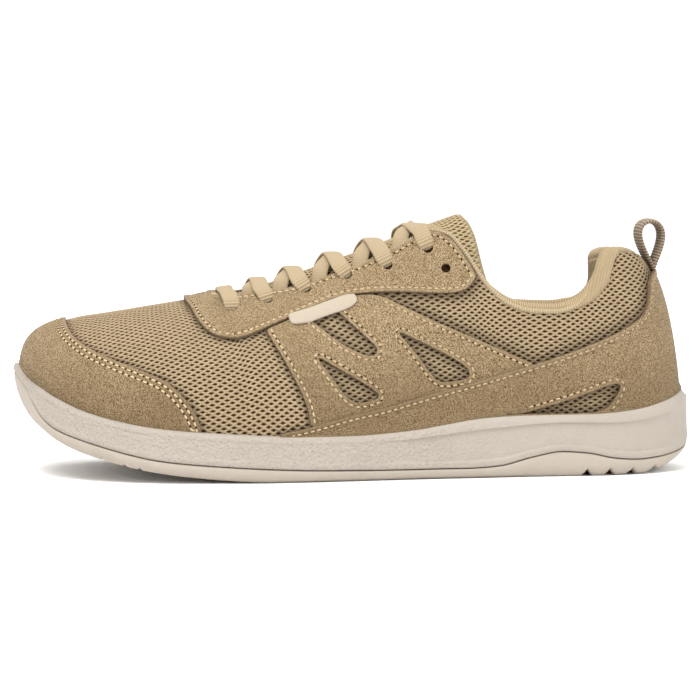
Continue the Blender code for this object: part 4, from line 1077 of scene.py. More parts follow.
def panel(name, look, chart, outlines, thickness=SUEDE_LAYER, low=0.0001, spacing=2.4, stitch_rows=(STITCH_ROW,),
          raise_by=None, under=None, punched_from=99):
    """A panel over the body. outlines are closed lines of (ring, u), the outer one first, then its windows.

    Edges near the points of under lie below a neighbour and aren't sewn, nor are the lines from punched_from on.
    """
    lines = []
    for k, (ring, u) in enumerate(outlines):
        if not turned(chart.flat(ring, u), k == 0):
            ring, u = ring[::-1], u[::-1]
        lines.append((ring, u))
    cut_edge = np.vstack([chart.at(ring, u) for ring, u in lines])
    sewn = sewn_edge(chart, lines[:punched_from], under)
    flats = [chart.flat(ring, u) for ring, u in lines]
    rings, rows, lifts, edges, strips, starts = [], [], [], [], [], []
    total = 0
    for number_of_line, (ring, u) in enumerate(lines):
        starts.append(total)
        for d, share in ROLL:
            here = edge_line(chart, ring, u, d / 1000)
            rings.append(here[0])
            rows.append(here[1])
            lifts.append(np.full(len(ring), low + thickness * share))
            from_edge = 3.0 if number_of_line >= punched_from else d if share > 0.5 else 0.0
            edges.append(np.full(len(ring), from_edge))
        count = len(ring)
        for level in range(len(ROLL) - 1):
            for k in range(count):
                n = (k + 1) % count
                a = total + level * count
                strips.append((a + k, a + n, a + count + n, a + count + k))
        total += count * len(ROLL)
    inner_ids, constraints = [], []
    for (ring, u), start in zip(lines, starts):
        count = len(ring)
        first = start + count * (len(ROLL) - 1)
        base = len(inner_ids)
        inner_ids += list(range(first, first + count))
        constraints += [(base + k, base + (k + 1) % count) for k in range(count)]
    all_ring, all_u = np.concatenate(rings), np.concatenate(rows)
    border = chart.flat(all_ring[inner_ids], all_u[inner_ids])
    groove = []
    for d in [s + e for s in stitch_rows for e in (-0.55, 0.0, 0.65)]:
        for ring, u in lines[:punched_from]:
            r, v = edge_line(chart, ring, u, d / 1000)
            away = nearest_distance(chart.at(r, v), sewn) * 1000
            keep = (away > d * 0.93) & (away < d * 1.12)
            groove.append(chart.flat(r[keep], v[keep]))
    groove = np.vstack(groove) if groove else np.zeros((0, 2))
    low_corner, high_corner = flats[0].min(axis=0), flats[0].max(axis=0)
    across, up = np.meshgrid(np.arange(low_corner[0], high_corner[0], spacing),
                             np.arange(low_corner[1], high_corner[1], spacing * 0.87))
    across[::2] += spacing / 2
    grid = np.column_stack([across.ravel(), up.ravel()])
    grid = grid[inside(grid, flats)]
    reach = max(stitch_rows, default=0.2) + 1.5
    r, v = chart.lift(grid)
    spots = chart.at(r, v)
    grid = grid[(nearest_distance(spots, sewn) > reach / 1000) & (nearest_distance(spots, cut_edge) > 0.0019)]
    extra = np.vstack([groove, grid])
    extra = extra[inside(extra, flats)]
    flat = np.vstack([border, extra])
    verts, _, triangles, origin, _, _ = delaunay_2d_cdt([Vector(p) for p in flat], constraints, [], 0, 1e-5)
    verts = np.array([tuple(v) for v in verts])
    corners = np.array([t for t in triangles if len(t) == 3])
    middle = verts[corners].mean(axis=1)
    ends = np.cumsum([len(ring) for ring, _ in lines])
    corners = corners[inside(middle, [flat[a:b] for a, b in zip([0, *ends], ends)])]
    number = {}
    more_flat = []
    for k, old in enumerate(origin):
        if old and old[0] < len(inner_ids):
            number[k] = inner_ids[old[0]]
        else:
            number[k] = total + len(more_flat)
            more_flat.append(verts[k])
    more_ring, more_u = chart.lift(np.array(more_flat))
    more_edge = nearest_distance(chart.at(more_ring, more_u), sewn) * 1000
    dip = sum((np.exp(-((more_edge - s) / 0.42) ** 2) for s in stitch_rows), np.zeros(len(more_edge)))
    all_ring, all_u = np.concatenate([all_ring, more_ring]), np.concatenate([all_u, more_u])
    lift = np.concatenate(lifts + [low + thickness - 0.00022 * dip])
    edge = np.concatenate(edges + [more_edge])
    if raise_by is not None:
        lift = lift + raise_by(all_ring, all_u, edge) * np.clip((lift - low) / thickness, 0, 1)
    points = chart.at(all_ring, all_u) + chart.out(all_ring, all_u) * lift[:, None]
    top_faces = [tuple(number[int(c)] for c in face) for face in corners]
    under_ids = {}
    for (ring, u), start in zip(lines, starts):
        for k in range(len(ring)):
            under_ids[start + len(ring) * (len(ROLL) - 1) + k] = start + k
    below = len(points)
    extra_low = chart.at(more_ring, more_u) + chart.out(more_ring, more_u) * low
    bottom = [tuple(under_ids.get(i, below + i - total) for i in reversed(face)) for face in top_faces]
    points = np.vstack([points, extra_low])
    edge = np.concatenate([edge, np.zeros(len(extra_low))])
    used = sorted({i for face in strips + top_faces + bottom for i in face})
    renumber = {i: k for k, i in enumerate(used)}
    faces = [tuple(renumber[i] for i in face) for face in strips + top_faces + bottom]
    obj = plain_object(name, points[used], faces, look, {"edge": edge[used]})
    return obj, lines


def stitch_line(chart, lines, distance, under=None):
    """Places of a stitch row at a distance from the panel's edges, as open or closed runs of (ring, u)."""
    runs = []
    sewn = sewn_edge(chart, lines, under)
    for ring, u in lines:
        r, v = edge_line(chart, ring, u, distance / 1000)
        away = nearest_distance(chart.at(r, v), sewn) * 1000
        keep = (away > distance * 0.85) & (away < distance * 1.15)
        if keep.all():
            runs.append((np.append(r, r[0]), np.append(v, v[0])))
            continue
        start = int(np.argmin(keep))
        r, v, keep = np.roll(r, -start), np.roll(v, -start), np.roll(keep, -start)
        edges = np.flatnonzero(np.diff(np.concatenate([[0], keep.astype(int), [0]])))
        runs += [(r[a:b], v[a:b]) for a, b in zip(edges[::2], edges[1::2]) if b - a > 3]
    return runs


print("panel maker ready")

# %% [markdown]
# ### The outlines
#
# Seen from the side, the toe cap runs over the toe box to the rim, the eyestay lies like a U round the throat,
# the saddle has three slanting windows, and the counter rises from the forefoot round the heel up to the pull
# loop. The inner side of the shoe gets the same cut, without the small tab.

# %% Outlines from the side view
TOE_BORDER = ((0.087, 0.559), (0.110, 0.513), (0.153, 0.468), (0.184, 0.438), (0.216, 0.404), (0.235, 0.362),
              (0.250, 0.317), (0.262, 0.262), (0.268, 0.216), (0.2685, 0.17))
STAY_BORDER = ((0.257, 0.690), (0.261, 0.645), (0.268, 0.614), (0.281, 0.578), (0.300, 0.557), (0.321, 0.556),
               (0.340, 0.570), (0.395, 0.626), (0.440, 0.678), (0.480, 0.717), (0.523, 0.733), (0.573, 0.735),
               (0.615, 0.730), (0.643, 0.732), (0.659, 0.750), (0.670, 0.795))
SADDLE = ((0.362, 0.588), (0.379, 0.514), (0.394, 0.442), (0.410, 0.357), (0.421, 0.285), (0.424, 0.212),
          (0.452, 0.230), (0.484, 0.251), (0.530, 0.273), (0.590, 0.320), (0.661, 0.369), (0.757, 0.448),
          (0.700, 0.515), (0.602, 0.632), (0.527, 0.729), (0.482, 0.714), (0.442, 0.676), (0.397, 0.623))
WINDOWS = (
    ((0.424, 0.636), (0.463, 0.672), (0.526, 0.514), (0.522, 0.492), (0.512, 0.482), (0.480, 0.522), (0.458, 0.563)),
    ((0.434, 0.490), (0.471, 0.430), (0.501, 0.385), (0.527, 0.334), (0.523, 0.320), (0.497, 0.304), (0.485, 0.313),
     (0.474, 0.340), (0.456, 0.407)),
    ((0.553, 0.586), (0.614, 0.506), (0.650, 0.451), (0.661, 0.414), (0.656, 0.394), (0.630, 0.383), (0.614, 0.382),
     (0.603, 0.410), (0.580, 0.500)),
)
COUNTER_BORDER = ((0.378, 0.16), (0.378, 0.195), (0.409, 0.207), (0.455, 0.238), (0.484, 0.259), (0.530, 0.281),
                  (0.590, 0.328), (0.661, 0.377), (0.722, 0.425), (0.792, 0.481), (0.858, 0.547), (0.893, 0.593),
                  (0.915, 0.630), (0.924, 0.670), (0.928, 0.730))
COUNTER_WINDOW = ((0.7075, 0.20), (0.714, 0.236), (0.734, 0.252), (0.763, 0.272), (0.796, 0.298), (0.822, 0.320),
                  (0.862, 0.361), (0.878, 0.371), (0.882, 0.352), (0.870, 0.300), (0.858, 0.262))
SIDE_TAB = ((0.396, 0.638), (0.4004, 0.603), (0.4135, 0.606), (0.428, 0.6105), (0.4427, 0.627), (0.460, 0.643),
            (0.4864, 0.667), (0.4995, 0.6935), (0.4957, 0.7235), (0.4776, 0.7135), (0.4543, 0.690), (0.428, 0.663),
             (0.4135, 0.652))
FOOT_LINE = -0.012


def below_rim(rings):
    return rings, np.full(len(rings), FOOT_LINE)


def side_border(side, points, radius=3.0, spacing=1.0):
    """An open border of the side view. Its low end may lie under the foot line, where a caller drops it."""
    line = picture_line(points, radius, closed=False, spacing=spacing)
    return place(side, line[:, 0], line[:, 1])


def redraw(chart, ring, u, spacing=1.0, radius=1.2):
    """Evens out a closed outline on its chart, with no corner sharper than radius."""
    return chart.lift(even(soften(even(chart.flat(ring, u), 1.6), radius), spacing))


# %% Toe cap
def toe_cap_outline():
    """Both side borders, drawn together over the top of the toe box, and closed behind the rim."""
    halves = []
    for side in (LATERAL, MEDIAL):
        r, u = side_border(side, TOE_BORDER)
        keep = u > FOOT_LINE + 0.004
        halves.append(np.column_stack(TOE_CHART.of(body_at(r[keep], u[keep]))))
    top = np.column_stack(TOE_CHART.of(body_at(np.array([0.045]), np.array([1.0]))))
    border = soften(np.vstack([halves[0][::-1], top, halves[1]]), 9.0, closed=False)
    ends = [place(side, [0.2685], [0.2])[0][0] for side in (MEDIAL, LATERAL)]
    foot = np.linspace(ends[0], ends[1], 200)
    bottom = np.column_stack(TOE_CHART.of(body_at(*below_rim(foot))))
    outline = even(soften(even(np.vstack([bottom, border]), 1.6), 1.2), 1.0)
    return outline[:, 0], outline[:, 1]


def toe_puff(a, b, edge):
    """The stiffener under the tip fills the toe cap out to the rim."""
    spots = TOE_CHART.at(a, b)
    above_rim = smoothstep(0.0, 0.004, spots[:, 2] - rim_height(spots[:, 0]))
    return 0.0015 * np.exp(-((a / 34.0) ** 2)) * above_rim * smoothstep(20.0, 2.0, b)


toe_cap, toe_lines = panel("toe_mudguard", suede_look, TOE_CHART, [toe_cap_outline()], stitch_rows=TOE_ROWS,
                           raise_by=toe_puff)
hand_over(toe_cap, "suede", "toe_cap")


# %% Eyestay
def circle_window(side, along, height, radius):
    """A round hole on the surface."""
    ring, u = place(side, [along], [height])
    out = body_out(ring, u)[0]
    first = unit(np.cross(out, (0, 0, 1.0)))
    second = np.cross(out, first)
    turns = np.linspace(0, 2 * math.pi, 18, endpoint=False)
    ways = np.outer(np.cos(turns), first) * radius + np.outer(np.sin(turns), second) * radius
    return step_on_body(np.full(18, ring[0]), np.full(18, u[0]), ways)


EYELET_RADIUS = 0.0019
THROAT_EDGE = 0.982
STAY_END = float(angle_of(0.655))


def eyestay_outline():
    border = side_border(LATERAL, STAY_BORDER, 4.0)
    flat = INSTEP_CHART.flat(*border)
    front = np.array([flat[0, 0] - 1.8, 0.0])
    lower = soften(np.vstack([front, (front + flat[0]) / 2 - (1.4, 0.0), flat[4:]]), 5.0, closed=False)
    feet = np.linspace(STAY_END, THROAT, 90)
    edge = INSTEP_CHART.flat(-feet, np.full(90, THROAT_EDGE))
    edge[:, 1] = -np.maximum(-edge[:, 1], 0.0)
    tip = np.array([INSTEP_CHART.flat(np.array([-THROAT]), np.array([1.0]))[0, 0] - 1.2, 0.0])
    half = np.vstack([lower, edge[:-1], tip])
    closed = np.vstack([half, (half * (1, -1))[::-1][1:-1]])
    closed = even(soften(even(closed, 1.2), 1.5), 1.0)
    return INSTEP_CHART.lift(closed)


holes = [circle_window(side, along, height, EYELET_RADIUS) for side in (LATERAL, MEDIAL)
         for along, height in zip(EYELETS["along"], EYELETS["height"])]


def folded_edge(ring, u, edge):
    """A sewn edge stands proud where it lies over its neighbour."""
    return 0.0005 * (1 - smoothstep(0.6, 2.4, edge))


eyestay, stay_lines = panel("throat_eyestay", suede_look, INSTEP_CHART, [eyestay_outline()] + holes,
                            raise_by=folded_edge, punched_from=1)
hand_over(eyestay, "suede", "eyestay")


# %% Heel counter
def on_side(side, outline, radius=3.0, corner=1.2):
    line = picture_line(outline, radius)
    return redraw(SIDE_CHART, *place(side, line[:, 0], line[:, 1]), radius=corner)


def counter_outline():
    r, u = side_border(LATERAL, COUNTER_BORDER, 3.0)
    keep = u > FOOT_LINE + 0.004
    r, u = r[keep], u[keep]
    flat = SIDE_CHART.flat(r, u)
    centre = SIDE_CHART.flat(np.array([-1.0]), np.array([0.0]))[0, 0]
    top = place(LATERAL, [0.9285], [0.770])
    peak = SIDE_CHART.flat(*top)[0]
    summit = np.array([centre, peak[1] + 1.6])
    half = soften(np.vstack([flat, peak, (peak + summit) / 2 + (0, 0.8), summit]), 3.0, closed=False)
    full = np.vstack([half, ((half - (centre, 0)) * (-1, 1) + (centre, 0))[::-1][1:]])
    start, stop = full[0, 0], full[-1, 0]
    base = np.linspace(stop, start, int((stop - start) / 1.5))
    bottom = SIDE_CHART.flat(*below_rim(np.interp(-base / 1000, AROUND, ROUND)))
    return SIDE_CHART.lift(even(np.vstack([full, bottom[1:-1]]), 1.0))


def counter_window(side):
    line = picture_line(COUNTER_WINDOW, 2.5)
    ring, u = place(side, line[:, 0], np.maximum(line[:, 1], 0.0))
    return redraw(SIDE_CHART, np.where(ring > 0, ring - 2, ring), np.maximum(u, 0.004))


def counter_fold(ring, u, edge):
    """The counter's edge is folded under, so it is thick, and lies over the saddle."""
    return 0.0008 * (1 - smoothstep(0.8, 2.6, edge))


counter_shapes = [counter_outline(), counter_window(LATERAL), counter_window(MEDIAL)]
counter, counter_lines = panel("heel_band", suede_look, SIDE_CHART, counter_shapes, raise_by=counter_fold)
hand_over(counter, "suede", "heel_counter")


# %% Saddles
OVER_SADDLE = np.vstack([INSTEP_CHART.at(*stay_lines[0]), SIDE_CHART.at(*counter_lines[0])])
saddle_lines = {}
for side, name, node in ((LATERAL, "saddle_outer_side", "saddle_lateral"),
                         (MEDIAL, "saddle_inner_side", "saddle_medial")):
    shapes = [on_side(side, SADDLE, 1.6, 0.8)] + [on_side(side, window, 1.5, 0.8) for window in WINDOWS]
    saddle, saddle_lines[side] = panel(name, suede_look, SIDE_CHART, shapes, under=OVER_SADDLE)
    hand_over(saddle, "suede", node)

# %% [markdown]
# ## Mesh cloth
#
# The upper's cloth is a knitted spacer mesh. Its holes are long and six-sided, about 2.6 by 1 mm, 4 mm apart in
# a row, with every second row set off by half. Painted holes look flat from the side, so each one is real:
# six-sided cells are laid over the body, and one Geometry Nodes tree sinks a hole into every cell. The
# strands between them keep a soft crest. Cells that lie well under the suede are left out.

# %% A small helper for Geometry Nodes
class Recipe:
    """A Geometry Nodes tree with named inputs, run once on an object and applied."""

    def __init__(self, name, **sizes):
        self.tree = bpy.data.node_groups.new(name, "GeometryNodeTree")
        self.tree.interface.new_socket("Geometry", in_out="INPUT", socket_type="NodeSocketGeometry")
        kinds = {float: "NodeSocketFloat", int: "NodeSocketInt"}
        self.sockets = {}
        for key, value in sizes.items():
            socket = self.tree.interface.new_socket(key, in_out="INPUT", socket_type=kinds[type(value)])
            socket.default_value = value
            self.sockets[key] = socket.identifier
        look = self.tree.interface.new_socket("look", in_out="INPUT", socket_type="NodeSocketMaterial")
        self.sockets["look"] = look.identifier
        self.tree.interface.new_socket("Geometry", in_out="OUTPUT", socket_type="NodeSocketGeometry")
        self.entry = self.tree.nodes.new("NodeGroupInput")
        self.exit = self.tree.nodes.new("NodeGroupOutput")

    def given(self, name):
        return Value(self, self.entry.outputs[name])

    def add(self, kind, settings=None, inputs=None, out=0):
        return Finish.add(self, kind, settings, inputs, out)

    def outputs(self, value):
        return {socket.name: Value(self, socket) for socket in value.socket.node.outputs}

    def close(self, geometry):
        whole = self.add("GeometryNodeRealizeInstances", None, {0: geometry})
        dressed = self.add("GeometryNodeSetMaterial", None, {"Geometry": whole, "Material": self.given("look")})
        self.tree.links.new(dressed.socket, self.exit.inputs[0])

    def run(self, obj, look, **sizes):
        modifier = obj.modifiers.new("recipe", "NODES")
        modifier.node_group = self.tree
        for key, value in {**sizes, "look": look}.items():
            modifier[self.sockets[key]] = value
        bpy.context.view_layer.update()
        made = bpy.data.meshes.new_from_object(obj.evaluated_get(bpy.context.evaluated_depsgraph_get()))
        obj.modifiers.remove(modifier)
        obj.data = made
        return obj


def pierce_recipe():
    """Sinks a six-sided hole into every face."""
    recipe = Recipe("pierced cells", hole_length=0.76, hole_height=0.56, crest=0.00012, depth=0.0008)
    first = recipe.add("GeometryNodeExtrudeMesh", {"mode": "FACES"}, {
        "Mesh": recipe.given("Geometry"), "Offset Scale": recipe.given("crest") * -1.0, "Individual": True})
    top = recipe.outputs(first)["Top"]
    way = recipe.add("GeometryNodeInputNamedAttribute", {"data_type": "FLOAT_VECTOR"}, {"Name": "cell_up"})
    smaller = recipe.add("GeometryNodeScaleElements", {"domain": "FACE", "scale_mode": "UNIFORM"}, {
        "Geometry": first, "Selection": top, "Scale": recipe.given("hole_length")})
    flatter = recipe.add("GeometryNodeScaleElements", {"domain": "FACE", "scale_mode": "SINGLE_AXIS"}, {
        "Geometry": smaller, "Selection": top, "Scale": recipe.given("hole_height"), "Axis": way})
    second = recipe.add("GeometryNodeExtrudeMesh", {"mode": "FACES"}, {
        "Mesh": flatter, "Selection": top, "Offset Scale": recipe.given("depth") * -1.0, "Individual": True})
    floor_face, wall = recipe.outputs(second)["Top"], recipe.outputs(second)["Side"]
    narrow = recipe.add("GeometryNodeScaleElements", {"domain": "FACE", "scale_mode": "UNIFORM"}, {
        "Geometry": second, "Selection": floor_face, "Scale": 0.75})
    # depth is 1 on hole floors and 0.62 on walls; the mesh finish paints these dark as painted shade.
    marked = recipe.add("GeometryNodeStoreNamedAttribute", {"data_type": "FLOAT", "domain": "FACE"}, {
        "Geometry": narrow, "Name": "depth", "Value": floor_face + wall * 0.62})
    recipe.close(marked)
    return recipe


pierced = pierce_recipe()
print("hole recipe has", len(pierced.tree.nodes), "nodes")

# %% Cells on the body
PITCH, ROW = 4.0, 1.18
CELL = ((1.72, 0.0), (0.28, ROW), (-0.28, ROW), (-1.72, 0.0), (-0.28, -ROW), (0.28, -ROW))


def lattice(low, high):
    """Centres of the cells that cover a flat rectangle, in millimetres."""
    columns = np.arange(math.floor(low[0] / PITCH) - 1, math.ceil(high[0] / PITCH) + 2)
    rows = np.arange(math.floor(low[1] / ROW) - 1, math.ceil(high[1] / ROW) + 2)
    k, r = np.meshgrid(columns, rows, indexing="ij")
    centres = np.column_stack([(k * PITCH + (r % 2) * PITCH / 2).ravel(), (r * ROW).ravel()])
    return centres[((centres > low[:2]) & (centres < high[:2])).all(axis=1)]


def cell_sheet(name, centres, lay, look, lift=0.0, reach=0.0085, **sizes):
    """Six-sided cells round the centres, laid on a surface by lay(flat) -> points, normals, and pierced."""
    corners = (centres[:, None, :] + np.array(CELL)[None]).reshape(-1, 2)
    keys = np.round(corners * 50).astype(int)
    _, first, number = np.unique(keys, axis=0, return_index=True, return_inverse=True)
    number = number.ravel()
    flat = corners[first]
    points, out = lay(flat)
    above, _ = lay(flat + (0.0, 0.2))
    faces = number.reshape(-1, 6)
    obj = plain_object(name, points + out * lift, faces, look)
    ups = unit(above - points)[faces].mean(axis=1)
    cell_up = obj.data.attributes.new("cell_up", "FLOAT_VECTOR", "FACE")
    cell_up.data.foreach_set("vector", unit(ups).ravel().astype(np.float32))
    face_way = np.cross((points[faces[:, 1]] - points[faces[:, 0]]), (points[faces[:, 2]] - points[faces[:, 0]]))
    centre = points[faces].mean(axis=1)
    # Painted shade: cells close to a suede edge get a number that darkens them in the mesh finish, as shade under the
    # stacked layers.
    away = np.minimum.reduce([nearest_distance(centre, edge) for _, _, _, edge in COVERS])
    shelter = (1 - smoothstep(0.0005, reach, away)).astype(np.float32)
    obj.data.attributes.new("shelter", "FLOAT", "FACE").data.foreach_set("value", shelter)
    if (face_way * out[faces[:, 0]]).sum() < 0:
        obj.data.flip_normals()
    pierced.run(obj, look, **sizes)
    obj.data.attributes.remove(obj.data.attributes["cell_up"])
    return obj


COVERS = []
for chart, lines in ((TOE_CHART, toe_lines), (INSTEP_CHART, stay_lines[:1]), (SIDE_CHART, counter_lines),
                     (SIDE_CHART, saddle_lines[LATERAL]), (SIDE_CHART, saddle_lines[MEDIAL])):
    COVERS.append((chart, lines, [chart.flat(ring, u) for ring, u in lines],
                   np.vstack([chart.at(ring, u) for ring, u in lines])))


def bare(ring, u, deeper=0.0034):
    """Places that no suede covers, or that lie less than deeper under its edge."""
    points = body_at(ring, u)
    free = np.ones(len(ring), bool)
    for chart, lines, flats, edge in COVERS:
        if chart is TOE_CHART:
            near = np.abs(wrap(ring)) < 0.36
            spot = np.full((len(ring), 2), 1e4)
            spot[near] = np.column_stack(TOE_CHART.of(points[near]))
        else:
            spot = chart.flat(ring, u)
            if chart is SIDE_CHART and lines is counter_lines:
                spot = chart.flat(np.where(ring > 0, ring - 2, ring), u)
        hidden = inside(spot, flats)
        hidden[hidden] = nearest_distance(points[hidden], edge) > deeper
        free &= ~hidden
    return free


# %% Vamp cloth
HALF_CLOTH = COLUMN_LENGTH + INSTEP_CHART.half_gap(FEET)
bell = np.exp(-(np.arange(-40, 41) / 16.0) ** 2)
calm = np.convolve(np.pad(HALF_CLOTH, 40, mode="edge"), bell / bell.sum(), mode="valid")
behind = smoothstep(angle_of(0.25), angle_of(0.31), FEET)
HALF_CLOTH = HALF_CLOTH * (1 - behind) + calm * behind


def vamp_place(flat):
    """Rows of the cloth lie at even distances from the ridge, as on cloth pulled over a last."""
    foot = np.interp(flat[:, 0] / 1000, AROUND, ROUND)
    out = np.abs(flat[:, 1]) / 1000
    u = (np.interp(foot, FEET, HALF_CLOTH) - out) / np.interp(foot, FEET, COLUMN_LENGTH)
    return np.where(flat[:, 1] < 0, -foot, foot), u


def vamp_lay(flat):
    ring, u = vamp_place(flat)
    return body_at(ring, np.minimum(u, 1.0)), body_out(ring, np.minimum(u, 1.0))


SPLIT = picture_line(((0.375, 0.80), (0.385, 0.60), (0.436, 0.30), (0.440, 0.05)), 2.0, closed=False)


def ahead_of_split(ring, u):
    points = body_at(ring, u)
    share = along_share(points[:, 0])
    return share < np.interp(points[:, 2] / INSTEP_HEIGHT, SPLIT[::-1, 1], SPLIT[::-1, 0])


centres = lattice((2.0, -112.0), (150.0, 112.0))
ring, u = vamp_place(centres)
keep = (u > -0.035) & (u <= 1.001)
keep[keep] &= ahead_of_split(ring[keep], u[keep])
keep[keep] &= bare(ring[keep], u[keep])
vamp = cell_sheet("vamp_mesh", centres[keep], vamp_lay, mesh_look, reach=0.0036)
print(int(keep.sum()), "holes in the vamp")
hand_over(vamp, "mesh_cloth", "upper")


# %% Quarter cloth
SEAM_RING, SEAM_U = place(LATERAL, (0.806, 0.823, 0.849, 0.867, 0.877, 0.886),
                          (0.664, 0.674, 0.7126, 0.774, 0.862, 0.885))


def cloth_top(ring):
    """At the back of the collar the mesh stops below the top edge, and the knit laps over to meet it."""
    return np.interp(np.abs(wrap(ring)), -SEAM_RING, SEAM_U, left=1.0, right=1.0)


print("mesh ends at", SEAM_U.round(3).tolist(), "on rings", SEAM_RING.round(3).tolist())
ROWS = np.linspace(-0.06, 1, 61)
HEIGHTS = body_at(FEET[::4][:, None] * LATERAL, ROWS[None, :])[..., 2] * 1000
HEIGHTS = np.maximum.accumulate(HEIGHTS, axis=1) + np.arange(61) * 1e-7
TILT = 0.05


def quarter_place(flat, side):
    """Flat points of the quarter: millimetres round the shoe and up, on rows that climb a little to the heel."""
    foot = np.interp(flat[:, 0] / 1000, AROUND, ROUND)
    height = flat[:, 1] + (flat[:, 0] - 120) * TILT
    at = np.clip(foot, 0, 1) * 100
    low = np.clip(at.astype(int), 0, 99)
    share = at - low
    levels = HEIGHTS[low] * (1 - share)[:, None] + HEIGHTS[low + 1] * share[:, None]
    u = np.array([np.interp(h, level, ROWS, left=-1, right=2) for h, level in zip(height, levels)])
    return side * foot, u


def quarter_lay(side):
    def lay(flat):
        ring, u = quarter_place(flat, side)
        u = np.clip(u, -0.06, 1.0)
        return body_at(ring, u), body_out(ring, u)
    return lay


end = np.interp(1.0, ROUND, AROUND) * 1000
for side, name in ((LATERAL, "quarter_mesh_outer"), (MEDIAL, "quarter_mesh_inner")):
    centres = lattice((100.0, 0.0), (end + 0.4, 110.0))
    ring, u = quarter_place(centres, side)
    keep = (u > -0.03) & (u < np.minimum(0.995, cloth_top(ring) + 0.02))
    keep[keep] &= ~ahead_of_split(ring[keep], u[keep])
    keep[keep] &= bare(ring[keep], u[keep])
    quarter = cell_sheet(name, centres[keep], quarter_lay(side), mesh_look)
    print(int(keep.sum()), "holes in one quarter")
    hand_over(quarter, "mesh_cloth", "upper")


# %% Lining
def wall_at(ring, u):
    """How thick the upper is: thin cloth, and padding towards the collar."""
    foot = np.abs(wrap(ring))
    collar = smoothstep(angle_of(0.655), angle_of(0.735), foot)
    return MESH_WALL + COLLAR_PADDING * collar * smoothstep(0.50, 0.92, u)


def lining_sheet():
    """The inner skin of the upper, closed between its two faces."""
    rings = np.concatenate([-np.linspace(0, 1, 121), np.linspace(1, 0, 121)[1:-1]])
    rows = np.linspace(-0.05, 1.0, 36)
    ring, u = np.meshgrid(rings, rows, indexing="ij")
    outer = over_body(ring, u, np.full(ring.shape, -0.00115))
    inner = over_body(ring, u, -np.maximum(wall_at(ring, u), 0.0018))
    count, high = ring.shape
    points = np.concatenate([outer.reshape(-1, 3), inner.reshape(-1, 3)])
    faces = []
    for k in range(count):
        n = (k + 1) % count
        for r in range(high - 1):
            a, b, c, d = k * high + r, n * high + r, n * high + r + 1, k * high + r + 1
            faces.append((a, b, c, d))
            faces.append(tuple(i + count * high for i in (d, c, b, a)))
        for r, flip in ((0, False), (high - 1, True)):
            if r and min(abs(rings[k]), abs(rings[n])) < THROAT:
                continue
            a, b = k * high + r, n * high + r
            wall = (b, a, a + count * high, b + count * high)
            faces.append(wall[::-1] if flip else wall)
    run = np.interp(np.abs(ring), ROUND, AROUND).ravel() * 1000
    obj = plain_object("inner_lining", points, faces, lining_look, {"rib": np.concatenate([run, run])})
    return tidy_mesh(obj, 2e-5)


lining = lining_sheet()
hand_over(lining, "mesh_cloth", "upper")

# %% [markdown]
# ## Padded collar and tongue
#
# The collar is a foam roll under knit cloth: it swells inwards below the topline and dies out down the
# wall. The tongue is a flat foam pad between mesh and lining, free at its top. Cloth simulation would round
# such thin pads evenly and lose the topline, so both are crowned closed forms made point by point: every
# section is a full soft curve, and the edge turns round in a half circle.

# %% Collar pad
def collar_sections(rings):
    """Closed sections of the roll: over the top edge, down the swollen inner side and back up behind."""
    sections = []
    for ring in rings:
        foot = abs(float(wrap(ring)))
        grown = float(smoothstep(angle_of(0.650), angle_of(0.735), foot))
        seam = float(cloth_top(ring))
        us = np.linspace(0.985, 0.42, 15)
        down = (us[0] - us) / (us[0] - us[-1])
        wall = wall_at(ring, us) + 0.0011 * np.sin(math.pi * np.clip(down * 1.25, 0, 1)) ** 2 * grown
        wall = np.maximum(wall * (1 - 0.12 * (1 - down) ** 6), 0.0019)
        inner = over_body(np.full(15, ring), us, -wall)
        edge, out = body_spot(ring)
        up = unit(edge - body_spot(ring, 0.96)[0])
        thick = float(wall_at(ring, np.array([1.0]))[0])
        turns = np.linspace(0, math.pi, 9)[1:-1]
        shown = 0.0004 if seam < 0.985 else -0.0005
        centre = edge + out * (shown - thick) / 2
        tall = 0.0006 + 0.46 * (thick - MESH_WALL * 0.6)
        roll = [centre + out * math.cos(t) * (thick + shown) / 2 + up * math.sin(t) * tall for t in turns]
        outer_us = np.concatenate([[0.44, 0.6], np.linspace(min(seam, 0.97) - 0.02, 1.0, 10)])
        outer_lift = -0.00125 + 0.0017 * smoothstep(-0.012, 0.012, outer_us - seam) * (seam < 0.985)
        outer = over_body(np.full(12, ring), outer_us, outer_lift)
        sections.append(np.vstack([outer, roll, inner]))
    return np.array(sections)


collar_rings = np.linspace(-float(angle_of(0.648)), -2 + float(angle_of(0.648)), 181)
sections = collar_sections(collar_rings)
count, across = sections.shape[:2]
faces = [(k * across + r, k * across + (r + 1) % across, (k + 1) * across + (r + 1) % across, (k + 1) * across + r)
         for k in range(count - 1) for r in range(across)]
faces += [tuple(range(across)), tuple((count - 1) * across + r for r in reversed(range(across)))]
run = np.repeat(-np.interp(collar_rings, ROUND, AROUND) * 1000, across)
collar = plain_object("collar_pad", sections.reshape(-1, 3), faces, lining_look, {"rib": run})
tidy_mesh(collar, 1e-6)
hand_over(collar, "mesh_cloth", "upper")


# %% A round tube along a line
def tube_faces(count, sides):
    """Faces round a row of rings, with both ends shut."""
    faces = [(k * sides + s, (k + 1) * sides + s, (k + 1) * sides + (s + 1) % sides, k * sides + (s + 1) % sides)
             for k in range(count - 1) for s in range(sides)]
    return faces + [tuple(range(sides)), tuple((count - 1) * sides + s for s in reversed(range(sides)))]


